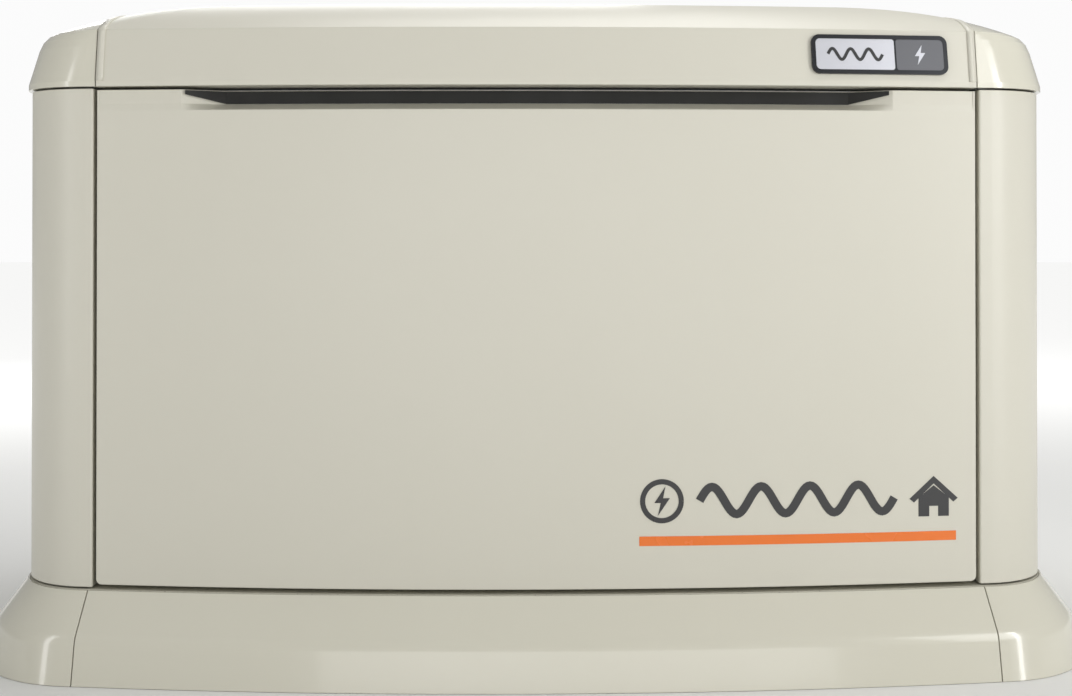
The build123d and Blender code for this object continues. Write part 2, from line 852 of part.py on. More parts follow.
# ---- side locks ----------------------------------------------------------------------------
def lock_housing():
    """Lock body in the side panel, with two ears and the pin that its cover swings on."""
    with BuildPart() as housing:
        with BuildSketch(Plane.YZ.offset(body_half)):
            with Locations((lock_y, lock_z)):
                Circle(lock_housing_radius + 4)
            with Locations((lock_y, cover_z - 2)):
                Rectangle(lock_ear_span, 10)
        extrude(amount=lock_plate)
        with BuildSketch(Plane.YZ.offset(lock_inner_end)):
            with Locations((lock_y, lock_z)):
                Circle(lock_housing_radius - 0.1)
        extrude(amount=body_half - lock_inner_end)
        with BuildSketch(Plane.YZ.offset(body_half + lock_plate)):
            with GridLocations(lock_ear_span - 2, 0, 2, 1):
                with Locations((lock_y, cover_z)):
                    Rectangle(2, 6)
        extrude(amount=6)
        with BuildSketch(Plane.XZ.offset(-lock_y - lock_ear_span / 2)):
            with Locations((cover_x, cover_z)):
                Circle(cover_pin)
        extrude(amount=lock_ear_span)
        with BuildSketch(Plane.YZ.offset(lock_inner_end - 1)):
            with Locations((lock_y, lock_z)):
                Circle(lock_bore + lock_clearance)
        extrude(amount=body_half - lock_inner_end + 10, mode=Mode.SUBTRACT)
    save(pair(housing), "lock_housings")


def lock_cylinder():
    """Key cylinder with the cam that turns over the striker's foot."""
    reach = cam_length - cam_width / 2
    with BuildPart() as lock:
        with BuildSketch(Plane.YZ.offset(cam_x)):
            with Locations((lock_y, lock_z)):
                Circle(lock_bore)
        extrude(amount=body_half + 1.0 - cam_x)
        with BuildSketch(Plane.YZ.offset(body_half + 1.0)):
            with Locations((lock_y, lock_z)):
                Rectangle(1.6, 10)
        extrude(amount=-6, mode=Mode.SUBTRACT)
        with BuildSketch(Plane.YZ.offset(cam_x)):
            with Locations((lock_y, lock_z + reach / 2)):
                SlotCenterToCenter(reach, cam_width, rotation=90)
        extrude(amount=-cam_thickness)
    save(lock, "lock_cylinder_right")
    save(mirrored(lock), "lock_cylinder_left")


def lock_cover():
    """Rubber flap over the keyhole, swinging on the housing's pin."""
    barrel = cover_x - body_half - lock_plate - 0.1
    width = lock_ear_span - 5.4
    with BuildPart() as cover:
        with BuildSketch(Plane.YZ.offset(body_half + lock_plate + 0.6)):
            with Locations((lock_y, lock_z)):
                Circle(lock_housing_radius + 3)
            with Locations((lock_y, cover_z)):
                Rectangle(width, 10, align=(Align.CENTER, Align.MAX))
        extrude(amount=3)
        with BuildSketch(Plane.XZ.offset(-lock_y - width / 2)):
            with Locations((cover_x, cover_z)):
                Circle(barrel)
        extrude(amount=width)
        with BuildSketch(Plane.XZ.offset(-lock_y - lock_ear_span)):
            with Locations((cover_x, cover_z)):
                Circle(cover_pin + lock_clearance)
        extrude(amount=2 * lock_ear_span, mode=Mode.SUBTRACT)
    save(cover, "lock_cover_right")
    save(mirrored(cover), "lock_cover_left")


def lid_strikers():
    """Hooked straps under the lid's edge, which the lock cams hold down."""
    strap_y = lock_y + cam_length + 3.0
    foot_top = lock_z - cam_width / 2 - strike_gap
    foot, plate, strap = 5.0, 3.0, 3.0
    with BuildPart() as striker:
        with BuildSketch(Plane.YZ.offset(cam_x - cam_thickness / 2 - striker_width / 2)):
            with Locations((strap_y, foot_top - foot)):
                Rectangle(strap, lid_bottom - foot_top + foot, align=Align.MIN)
                Rectangle(15, foot, align=(Align.MAX, Align.MIN))
            with Locations((strap_y - 10, lid_bottom - plate)):
                Rectangle(24, plate, align=Align.MIN)
        extrude(amount=striker_width)
    save(pair(striker), "lid_strikers")


def badge():
    """Name plate on the lid's front: a raised bezel round a flat field."""
    lean = atan2(crease_inset_y + lid_overhang, crease_height - lid_bottom - lid_lip)
    turn = asin(badge_x / bow_radius)
    middle = lid_overhang - (crease_inset_y + lid_overhang) / 2
    face = Plane(
        origin=(badge_x, bow_y(badge_x, middle), (lid_bottom + lid_lip + crease_height) / 2),
        x_dir=(cos(turn), sin(turn), 0),
        z_dir=(sin(turn) * cos(lean), -cos(turn) * cos(lean), sin(lean)),
    )
    with BuildPart() as plate:
        with BuildSketch(face.offset(0.05)):
            RectangleRounded(badge_length, badge_height, 9)
        extrude(amount=3)
        with BuildSketch(face.offset(2.35)):
            RectangleRounded(badge_length - 9, badge_height - 9, 5)
        extrude(amount=2, mode=Mode.SUBTRACT)
    save(plate, "badge")


def panel_screws():
    """Flanged screws that hold the side and rear panels to the posts."""
    with BuildPart() as screws:
        for face, width in ((side_face, side_width), (rear_face, rear_width)):
            with BuildSketch(face) as heads:
                with screw_places(width, body_height):
                    Circle(screw_head)
            extrude(heads.sketch, amount=1.2)
            with BuildSketch(face.offset(1.2)) as hexes:
                with screw_places(width, body_height):
                    RegularPolygon(screw_head - 2, 6)
            extrude(hexes.sketch, amount=2.8)
            with BuildSketch(face) as shanks:
                with screw_places(width, body_height):
                    Circle(screw_hole - 0.2)
            extrude(shanks.sketch, amount=-9)
        mirror(screws.part.solids().filter_by(lambda screw: screw.center().X > side_inner), about=Plane.YZ)
    save(screws, "panel_screws")


# ---- engine --------------------------------------------------------------------------------
def bank_plane(x, tilt, distance):
    """Plane across one cylinder's axis, at a distance from the crankshaft."""
    lean = radians(tilt)
    origin = (x, axis_y + sin(lean) * distance, axis_z + cos(lean) * distance)
    return Plane(origin=origin, x_dir=(1, 0, 0), z_dir=(0, sin(lean), cos(lean)))


def house_outline(inset):
    """Section of the crankcase: a flat base, upright walls and two decks at right angles."""
    half = crankcase_half - inset
    deck = deck_distance - inset
    shoulder = deck * sqrt(2) - half
    base = crankcase_bottom + inset - axis_z
    with Locations((axis_y, axis_z)):
        Polygon(
            (-half, base),
            (half, base),
            (half, shoulder),
            (shoulder, half),
            (-shoulder, half),
            (-half, shoulder),
            align=None,
        )


def cradle():
    """Channel-section cradle under the engine, on four rubber mounts."""
    low = pad_height + mount_height
    rails = (axis_y - rail_pitch / 2, axis_y + rail_pitch / 2)
    ends = (mount_left, mount_right)
    with BuildPart() as frame:
        with BuildSketch(Plane.YZ.offset(cradle_left)):
            for rail_y in rails:
                with Locations((rail_y, low)):
                    Rectangle(rail_width, rail_height, align=(Align.CENTER, Align.MIN))
                    Rectangle(
                        rail_width - 2 * rail_wall,
                        rail_height - rail_wall,
                        align=(Align.CENTER, Align.MIN),
                        mode=Mode.SUBTRACT,
                    )
        extrude(amount=cradle_right - cradle_left)
        with BuildSketch(Plane.XY.offset(low)):
            for cross_x in ends:
                with Locations((cross_x, axis_y)):
                    Rectangle(2 * mount_radius + 6, rail_pitch + rail_width)
        extrude(amount=rail_wall)
    save(frame, "engine_cradle")
    with BuildPart() as mounts:
        with BuildSketch(Plane.XY.offset(pad_height)):
            for mount_x in ends:
                for mount_y in rails:
                    with Locations((mount_x, mount_y)):
                        Circle(mount_radius)
        extrude(amount=mount_height)
    save(mounts, "vibration_mounts")


def crankcase():
    """Hollow crankcase with two decks, bearing bores in both ends and the dipstick's tube."""
    length = crankcase_right - crankcase_left
    boss_bottom = axis_z - 25.0
    with BuildPart() as case:
        with BuildSketch(Plane.YZ.offset(crankcase_left)):
            house_outline(0)
        extrude(amount=length)
        with BuildSketch(Plane.YZ.offset(crankcase_left + crankcase_wall)):
            house_outline(crankcase_wall)
        extrude(amount=length - 2 * crankcase_wall, mode=Mode.SUBTRACT)
        with BuildSketch(Plane.YZ.offset(crankcase_left)):
            with Locations((axis_y, axis_z)):
                Circle(shaft_radius + shaft_clearance)
        extrude(amount=length, mode=Mode.SUBTRACT)
        for x, tilt in banks:
            with BuildSketch(bank_plane(x, tilt, deck_distance - 2 * crankcase_wall)):
                Circle(bore_radius)
            extrude(amount=3 * crankcase_wall, mode=Mode.SUBTRACT)
        with BuildSketch(Plane.XY.offset(boss_bottom)):
            with Locations((dipstick_x, axis_y - crankcase_half)):
                Rectangle(22, axis_y - crankcase_half - dipstick_y + 11, align=(Align.CENTER, Align.MAX))
        extrude(amount=28)
        with BuildSketch(Plane.XY.offset(boss_bottom)):
            with Locations((dipstick_x, dipstick_y)):
                Circle(dipstick_tube)
        extrude(amount=dipstick_top - boss_bottom)
        with BuildSketch(Plane.XY.offset(dipstick_top)):
            with Locations((dipstick_x, dipstick_y)):
                Circle(dipstick_tube - 2)
        extrude(amount=-dipstick_length - 4, mode=Mode.SUBTRACT)
    save(case, "crankcase")


def dipstick():
    """Blade with a pull cap that stands on the tube's rim."""
    with BuildPart() as stick:
        with BuildSketch(Plane.XY.offset(dipstick_top)):
            with Locations((dipstick_x, dipstick_y)):
                Circle(dipstick_radius)
        extrude(amount=-dipstick_length)
        with BuildSketch(Plane.XY.offset(dipstick_top)):
            with Locations((dipstick_x, dipstick_y)):
                Circle(dipstick_tube + 2)
        extrude(amount=10)
        with BuildSketch(Plane.XZ.offset(-dipstick_y - 3)):
            with Locations((dipstick_x, dipstick_top + 22)):
                Circle(14)
                Circle(9, mode=Mode.SUBTRACT)
        extrude(amount=6)
    save(stick, "dipstick")


def crankshaft():
    """One shaft from the fan to the alternator's end bearing, with a throw inside the crankcase."""
    middle = (front_cylinder_x + rear_cylinder_x) / 2
    half = (rear_cylinder_x - front_cylinder_x) / 2 + 16.0
    with BuildPart() as shaft:
        with BuildSketch(Plane.YZ.offset(shaft_left)):
            with Locations((axis_y, axis_z)):
                Circle(shaft_radius)
        extrude(amount=middle - half - shaft_left)
        with BuildSketch(Plane.YZ.offset(middle + half)):
            with Locations((axis_y, axis_z)):
                Circle(shaft_radius)
        extrude(amount=shaft_right - middle - half)
        with BuildSketch(Plane.YZ.offset(middle - half)):
            with Locations((axis_y, axis_z + crank_throw)):
                Circle(shaft_radius - 2)
        extrude(amount=2 * half)
        for start in (middle - half - web_width, middle + half):
            with BuildSketch(Plane.YZ.offset(start)):
                with Locations((axis_y, axis_z)):
                    Circle(web_radius)
                    with Locations((0, crank_throw + shaft_radius + 4)):
                        Rectangle(2 * web_radius, 20, align=(Align.CENTER, Align.MIN), mode=Mode.SUBTRACT)
            extrude(amount=web_width)
    save(shaft, "crankshaft")


def flywheel():
    """Flywheel with radial blades that blow cooling air over the cylinders."""
    disc = 10.0
    with BuildPart() as wheel:
        with BuildSketch(Plane.YZ.offset(fan_left)):
            with Locations((axis_y, axis_z)):
                Circle(fan_radius)
        extrude(amount=disc)
        with BuildSketch(Plane.YZ.offset(fan_left)):
            with Locations((axis_y, axis_z)):
                Circle(shaft_radius + 14)
        extrude(amount=fan_right - fan_left)
        with BuildSketch(Plane.YZ.offset(fan_left + disc)):
            with Locations((axis_y, axis_z)):
                with PolarLocations(fan_radius - 28, fan_blades):
                    Rectangle(52, 5, rotation=28)
        extrude(amount=fan_right - fan_left - disc - 6)
        with BuildSketch(Plane.YZ.offset(fan_left)):
            with Locations((axis_y, axis_z)):
                Circle(shaft_radius)
        extrude(amount=fan_right - fan_left, mode=Mode.SUBTRACT)
    save(wheel, "flywheel_fan")


def blower():
    """Round housing over the fan, open to the divider and ported towards both cylinders."""
    with BuildPart() as housing:
        with BuildSketch(Plane.YZ.offset(crankcase_right)):
            with Locations((axis_y, axis_z)):
                Circle(blower_radius)
        extrude(amount=blower_right - crankcase_right)
        with BuildSketch(Plane.YZ.offset(crankcase_right + blower_wall)):
            with Locations((axis_y, axis_z)):
                Circle(blower_radius - blower_wall)
        extrude(amount=blower_right - crankcase_right - 2 * blower_wall, mode=Mode.SUBTRACT)
        with BuildSketch(Plane.YZ.offset(blower_right - blower_wall)):
            with Locations((axis_y, axis_z)):
                Circle(blower_inlet)
        extrude(amount=blower_wall, mode=Mode.SUBTRACT)
        with BuildSketch(Plane.YZ.offset(crankcase_right)):
            with Locations((axis_y, axis_z)):
                Circle(shaft_radius + 12)
                with PolarLocations(blower_radius - 42, 2, start_angle=45, angular_range=180):
                    Circle(30)
        extrude(amount=blower_wall, mode=Mode.SUBTRACT)
    save(housing, "blower_housing")


def cylinders():
    """Two finned barrels with square finned heads, and their pressed rocker covers."""
    pitch = barrel_length / fin_count
    with BuildPart() as pots:
        for x, tilt in banks:
            with BuildSketch(bank_plane(x, tilt, deck_distance)):
                Circle(bore_radius + 7)
            extrude(amount=barrel_length)
            for count in range(fin_count):
                with BuildSketch(bank_plane(x, tilt, deck_distance + (count + 0.35) * pitch)):
                    Circle(fin_radius)
                extrude(amount=3)
            with BuildSketch(bank_plane(x, tilt, head_start)):
                RectangleRounded(head_width - 16, head_width - 16, 8)
            extrude(amount=head_length)
            for count in range(4):
                with BuildSketch(bank_plane(x, tilt, head_start + count * (head_length - 3) / 3)):
                    RectangleRounded(head_width, head_width, 10)
                extrude(amount=3)
            with BuildSketch(bank_plane(x, tilt, deck_distance)):
                Circle(bore_radius)
            extrude(amount=barrel_length - 4, mode=Mode.SUBTRACT)
    save(pots, "cylinders")
    with BuildPart() as covers:
        for x, tilt in banks:
            with BuildSketch(bank_plane(x, tilt, rocker_start)):
                RectangleRounded(head_width - 4, head_width - 14, 12)
            extrude(amount=5)
            with BuildSketch(bank_plane(x, tilt, rocker_start + 5)) as lower:
                RectangleRounded(head_width - 14, head_width - 24, 14)
            with BuildSketch(bank_plane(x, tilt, rocker_start + rocker_length)) as upper:
                RectangleRounded(head_width - 30, head_width - 40, 14)
            loft([lower.sketch, upper.sketch], ruled=True)
    save(covers, "rocker_covers")


def head_port(x, tilt, side):
    """Middle of a head's intake (+1, in the V) or exhaust (-1, below) face, and its outward way."""
    lean = radians(tilt)
    middle = head_start + head_length / 2
    along = Vector(0, sin(lean), cos(lean))
    outward = Vector(0, -cos(lean) * tilt / abs(tilt), sin(lean) * tilt / abs(tilt)) * side
    return Vector(x, axis_y, axis_z) + along * middle + outward * head_width / 2, outward


def intake():
    """Fuel mixer in the V with a curved runner to each head, and the air cleaner on top."""
    runner_z = cleaner_bottom - runner_radius - 4
    with BuildPart() as mixer:
        with BuildSketch(Plane.XY.offset(mixer_bottom)):
            with Locations(((mixer_left + mixer_right) / 2, axis_y)):
                RectangleRounded(mixer_right - mixer_left, 2 * mixer_half, 8)
        extrude(amount=cleaner_bottom - mixer_bottom)
        for x, tilt in banks:
            port, outward = head_port(x, tilt, 1)
            bend = port + outward * ((runner_z - port.Z) / outward.Z)
            with BuildLine() as route:
                FilletPolyline(port, bend, Vector(x, axis_y, bend.Z), radius=22)
            with BuildSketch(Plane(origin=port, x_dir=(1, 0, 0), z_dir=outward)):
                Circle(runner_radius)
            sweep(path=route.line)
    save(mixer, "intake_mixer")
    with BuildPart() as cleaner:
        with BuildSketch(Plane.XY.offset(cleaner_bottom)):
            with Locations(((cleaner_left + cleaner_right) / 2, (cleaner_front + cleaner_rear) / 2)):
                RectangleRounded(cleaner_right - cleaner_left, cleaner_rear - cleaner_front, 24)
        extrude(amount=cleaner_height)
        chamfer(cleaner.faces().sort_by(Axis.Z)[-1].edges(), 10)
        with BuildSketch(Plane.XY.offset(cleaner_bottom + 4)):
            with Locations(((cleaner_left + cleaner_right) / 2, (cleaner_front + cleaner_rear) / 2)):
                RectangleRounded(cleaner_right - cleaner_left - 26, cleaner_rear - cleaner_front - 26, 14)
        extrude(amount=cleaner_height - 18, mode=Mode.SUBTRACT)
    save(cleaner, "air_cleaner")


def engine_accessories():
    """Spin-on oil filter and starter motor on the crankcase's front wall."""
    wall = axis_y - crankcase_half
    low = axis_z - 75.0
    with BuildPart() as oil_filter:
        with BuildSketch(Plane.XZ.offset(-wall)):
            with Locations((filter_x, low)):
                Circle(filter_radius - 6)
        extrude(amount=10)
        with BuildSketch(Plane.XZ.offset(-wall + 10)):
            with Locations((filter_x, low)):
                Circle(filter_radius)
        extrude(amount=filter_length - 10)
        fillet(oil_filter.faces().sort_by(Axis.Y)[0].edges(), 8)
    save(oil_filter, "oil_filter")
    with BuildPart() as starter:
        with BuildSketch(Plane.YZ.offset(starter_left)):
            with Locations((wall - starter_radius - 2, low)):
                Circle(starter_radius)
        extrude(amount=starter_right - starter_left)
        with BuildSketch(Plane.YZ.offset(starter_left + 20)):
            with Locations((wall, low)):
                Rectangle(starter_radius, 2 * starter_radius - 12, align=(Align.MAX, Align.CENTER))
        extrude(amount=starter_right - starter_left - 40)
        with BuildSketch(Plane.YZ.offset(starter_left + 15)):
            with Locations((wall - starter_radius - 2, low - starter_radius - 10)):
                Circle(14)
        extrude(amount=70)
        with BuildSketch(Plane.YZ.offset(starter_left + 25)):
            with Locations((wall - starter_radius - 2, low - starter_radius + 2)):
                Rectangle(12, 16)
        extrude(amount=50)
    save(starter, "starter_motor")


# ---- alternator ----------------------------------------------------------------------------
def alternator():
    """Can bolted to the crankcase, with a vented end bell, a wound stator and the rotor."""
    inner = stator_radius
    outer = stator_radius + can_wall
    bell = 8.0
    foot = 60.0
    with BuildPart() as can:
        with BuildSketch(Plane.YZ.offset(alternator_left)):
            with Locations((axis_y, axis_z)):
                Circle(outer)
        extrude(amount=crankcase_left - alternator_left)
        with BuildSketch(Plane.YZ.offset(mount_left - foot / 2 + 10)):
            with Locations((axis_y, crankcase_bottom)):
                Rectangle(
                    rail_pitch + rail_width,
                    axis_z - crankcase_bottom - 70,
                    align=(Align.CENTER, Align.MIN),
                )
        extrude(amount=foot)
        with BuildSketch(Plane.YZ.offset(alternator_left + bell)):
            with Locations((axis_y, axis_z)):
                Circle(inner)
        extrude(amount=crankcase_left - alternator_left - 2 * bell, mode=Mode.SUBTRACT)
        with BuildSketch(Plane.YZ.offset(alternator_left)):
            with Locations((axis_y, axis_z)):
                Circle(shaft_radius + shaft_clearance)
                with PolarLocations(74, 10):
                    SlotCenterToCenter(36, 14)
        extrude(amount=bell, mode=Mode.SUBTRACT)
        with BuildSketch(Plane.YZ.offset(crankcase_left - bell)):
            with Locations((axis_y, axis_z)):
                Circle(stator_bore)
        extrude(amount=bell, mode=Mode.SUBTRACT)
    save(can, "alternator_housing")

    with BuildPart() as stator:
        with BuildSketch(Plane.YZ.offset(stator_left)):
            with Locations((axis_y, axis_z)):
                Circle(stator_radius)
                Circle(stator_bore, mode=Mode.SUBTRACT)
        extrude(amount=stator_right - stator_left)
        with BuildSketch(Plane.YZ.offset(stator_left - 15)):
            with Locations((axis_y, axis_z)):
                Circle(stator_radius - 10)
                Circle(stator_bore + 8, mode=Mode.SUBTRACT)
        extrude(amount=stator_right - stator_left + 30)
        with BuildSketch(Plane.YZ.offset(stator_left)):
            with Locations((axis_y, axis_z)):
                with PolarLocations(stator_bore + 10, 24):
                    Rectangle(22, 6)
        extrude(amount=stator_right - stator_left, mode=Mode.SUBTRACT)
    save(stator, "stator")

    with BuildPart() as rotor:
        with BuildSketch(Plane.YZ.offset(stator_left + 5)):
            with Locations((axis_y, axis_z)):
                Circle(stator_bore - air_gap)
                with PolarLocations(stator_bore - air_gap, 16):
                    Rectangle(28, 7, mode=Mode.SUBTRACT)
        extrude(amount=stator_right - stator_left - 10)
        with BuildSketch(Plane.YZ.offset(stator_left + 5)):
            with Locations((axis_y, axis_z)):
                Circle(shaft_radius)
        extrude(amount=stator_right - stator_left - 10, mode=Mode.SUBTRACT)
    save(rotor, "rotor")


# ---- exhaust -------------------------------------------------------------------------------
def exhaust_route(x, tilt, entry_y, entry_height, lead):
    """Middle line of one exhaust pipe, from its head down and across to the muffler."""
    port, outward = head_port(x, tilt, -1)
    elbow = port + outward * lead
    jog_end = divider_x - 21.0
    jog_start = jog_end - 55.0
    with BuildLine() as route:
        FilletPolyline(
            port,
            elbow,
            Vector(jog_start, elbow.Y, elbow.Z),
            Vector(jog_end, entry_y, entry_height),
            Vector(muffler_left + 10, entry_y, entry_height),
            radius=lead - 4,
        )
    return port, outward, route.line


def exhaust():
    """Oval muffler on two plate legs, with both pipes coming through the divider."""
    with BuildPart() as muffler:
        with BuildSketch(Plane.XZ.offset(-muffler_rear)):
            with Locations(((muffler_left + muffler_right) / 2, (muffler_bottom + muffler_top) / 2)):
                RectangleRounded(
                    muffler_right - muffler_left, muffler_top - muffler_bottom, muffler_corner
                )
        extrude(amount=muffler_rear - muffler_front)
        fillet(muffler.faces().filter_by(Axis.Y).edges(), 6)
        with BuildSketch(Plane.XZ.offset(-muffler_rear + muffler_wall)):
            with Locations(((muffler_left + muffler_right) / 2, (muffler_bottom + muffler_top) / 2)):
                RectangleRounded(
                    muffler_right - muffler_left - 2 * muffler_wall,
                    muffler_top - muffler_bottom - 2 * muffler_wall,
                    muffler_corner - muffler_wall,
                )
        extrude(amount=muffler_rear - muffler_front - 2 * muffler_wall, mode=Mode.SUBTRACT)
        legs = (muffler_front + 50, muffler_rear - 50)
        for leg_y in legs:
            with BuildSketch(Plane.XZ.offset(-leg_y)):
                with Locations(((muffler_left + muffler_right) / 2, pad_height)):
                    Rectangle(130, muffler_bottom - pad_height + 20, align=(Align.CENTER, Align.MIN))
            extrude(amount=leg_wall)
        with BuildSketch(Plane.XY.offset(muffler_bottom + muffler_wall)):
            with Locations(((muffler_left + muffler_right) / 2, (muffler_front + muffler_rear) / 2)):
                Rectangle(140, muffler_rear - muffler_front - 20)
        extrude(amount=25, mode=Mode.SUBTRACT)
        outlet_y = (muffler_front + muffler_rear) / 2
        with BuildSketch(Plane.YZ.offset(muffler_right - 10)):
            with Locations((outlet_y, muffler_bottom + 60)):
                Circle(pipe_radius + 4)
        extrude(amount=38)
        with BuildSketch(Plane.YZ.offset(muffler_right + 28)):
            with Locations((outlet_y, muffler_bottom + 60)):
                Circle(pipe_radius + 2)
        extrude(amount=-60, mode=Mode.SUBTRACT)
        for bank, entry_y, entry_height, lead in (
            (banks[0], front_pipe_y, front_pipe_z, 36.0),
            (banks[1], rear_pipe_y, rear_pipe_z, 26.0),
        ):
            port, outward, route = exhaust_route(*bank, entry_y, entry_height, lead)
            with BuildSketch(Plane(origin=port, x_dir=(1, 0, 0), z_dir=outward)):
                Circle(pipe_radius)
                Circle(pipe_radius - pipe_wall, mode=Mode.SUBTRACT)
            sweep(path=route)
    save(muffler, "muffler")
    with BuildPart() as wall:
        with BuildSketch(Plane.YZ.offset(divider_x)):
            with Locations((divider_front, pad_height)):
                Rectangle(
                    divider_rear - divider_front,
                    body_top - frame_height - 2 - pad_height,
                    align=Align.MIN,
                )
            with Locations((axis_y, axis_z)):
                Circle(blower_inlet, mode=Mode.SUBTRACT)
            with Locations((front_pipe_y, front_pipe_z), (rear_pipe_y, rear_pipe_z)):
                Circle(pipe_radius + pipe_gap, mode=Mode.SUBTRACT)
        extrude(amount=sheet)
        with BuildSketch(Plane.XY.offset(pad_height)):
            with Locations((divider_x + sheet, divider_front)):
                Rectangle(18, divider_rear - divider_front, align=Align.MIN)
        extrude(amount=sheet)
    save(wall, "divider_wall")


# ---- controls ------------------------------------------------------------------------------
def control_outline(inset):
    """Section of the control box, with its sloped face towards the front."""
    front, rear = control_front + inset, control_rear - inset
    low, high = control_bottom + inset, control_top - inset
    tuck = inset * (1 - cos(slope)) / sin(slope)
    Polygon(
        (front, low),
        (rear, low),
        (rear, high),
        (control_rear - control_ledge + tuck, high),
        (front, control_brow - inset * tan((pi / 2 - slope) / 2)),
        align=None,
    )


def controls():
    """Control box on two legs, the controller with three buttons, and the main breaker."""
    length = control_right - control_left
    inner_leg = shaft_left - 30.0 - leg_width
    with BuildPart() as box:
        with BuildSketch(Plane.YZ.offset(control_left)):
            control_outline(0)
        extrude(amount=length)
        with BuildSketch(Plane.YZ.offset(control_left + control_wall)):
            control_outline(control_wall)
        extrude(amount=length - 2 * control_wall, mode=Mode.SUBTRACT)
        with BuildSketch(Plane.XY.offset(pad_height)):
            with Locations((control_left + 10, control_rear), (inner_leg, control_rear)):
                Rectangle(leg_width, leg_wall, align=(Align.MIN, Align.MAX))
        extrude(amount=control_bottom - pad_height + 40)
    save(box, "control_box")

    buttons = [(count - 1) * button_pitch for count in range(3)]
    row = -controller_height / 2 + 18
    with BuildPart() as controller:
        with BuildSketch(slope_plane):
            RectangleRounded(controller_length, controller_height, 8)
        extrude(amount=controller_depth)
        chamfer(controller.faces().sort_by(slope_axis)[-1].edges(), 2)
        with BuildSketch(slope_plane.offset(controller_depth)):
            with Locations((0, 15)):
                RectangleRounded(96, 36, 3)
        extrude(amount=-2.5, mode=Mode.SUBTRACT)
        with BuildSketch(slope_plane):
            for place in buttons:
                with Locations((place, row)):
                    Circle(button_radius + button_clearance)
        extrude(amount=controller_depth, mode=Mode.SUBTRACT)
    save(controller, "controller")
    for place, name in zip(buttons, ("button_auto", "button_off", "button_manual")):
        with BuildPart() as button:
            with BuildSketch(slope_plane.offset(button_travel + 1)):
                with Locations((place, row)):
                    Circle(button_radius)
            extrude(amount=controller_depth + button_proud - button_travel - 1)
            fillet(button.faces().sort_by(slope_axis)[-1].edges(), 1.2)
        save(button, name)

    across = breaker_x - controller_x
    pivot = breaker_depth - 12.0
    lever_plane = Plane(
        origin=slope_plane.from_local_coords((across, 0, pivot)),
        x_dir=slope_plane.y_dir,
        z_dir=(1, 0, 0),
    )
    half_lever = breaker_lever / 2
    with BuildPart() as breaker:
        with BuildSketch(slope_plane):
            with Locations((across, 0)):
                RectangleRounded(breaker_width, breaker_height, 3)
        extrude(amount=breaker_depth)
        with BuildSketch(slope_plane.offset(2)):
            with Locations((across, 0)):
                Rectangle(breaker_lever + 2, 40)
        extrude(amount=breaker_depth, mode=Mode.SUBTRACT)
        with BuildSketch(lever_plane.offset(-half_lever - 4.1)):
            Circle(3 + shaft_clearance)
        extrude(amount=breaker_lever + 8.2, mode=Mode.SUBTRACT)
    save(breaker, "main_breaker")
    with BuildPart() as lever:
        with BuildSketch(lever_plane.offset(-half_lever)):
            Circle(7)
            with Locations(Location((0, 0), breaker_swing)):
                Rectangle(9, 32, align=(Align.CENTER, Align.MIN))
        extrude(amount=breaker_lever)
        with BuildSketch(lever_plane.offset(-half_lever - 4)):
            Circle(3)
        extrude(amount=breaker_lever + 8)
    save(lever, "breaker_handle")


def battery():
    """Starter battery with a stepped lid and two posts."""
    with BuildPart() as case:
        with BuildSketch(Plane.XY.offset(pad_height)):
            with Locations((battery_left, battery_front)):
                Rectangle(battery_length, battery_width, align=Align.MIN)
        extrude(amount=battery_height - 18)
        fillet(case.edges().filter_by(Axis.Z), 6)
        with BuildSketch(Plane.XY.offset(pad_height + battery_height - 40)):
            with Locations((battery_left + battery_length / 2, battery_front + battery_width / 2)):
                RectangleRounded(battery_length + 4, battery_width + 4, 7)
        extrude(amount=22)
        with BuildSketch(Plane.XY.offset(pad_height + battery_height - 18)):
            with Locations(
                (battery_left + 30, battery_front + 32),
                (battery_left + battery_length - 30, battery_front + 32),
            ):
                Circle(8.5)
        extrude(amount=18)
    save(case, "battery")


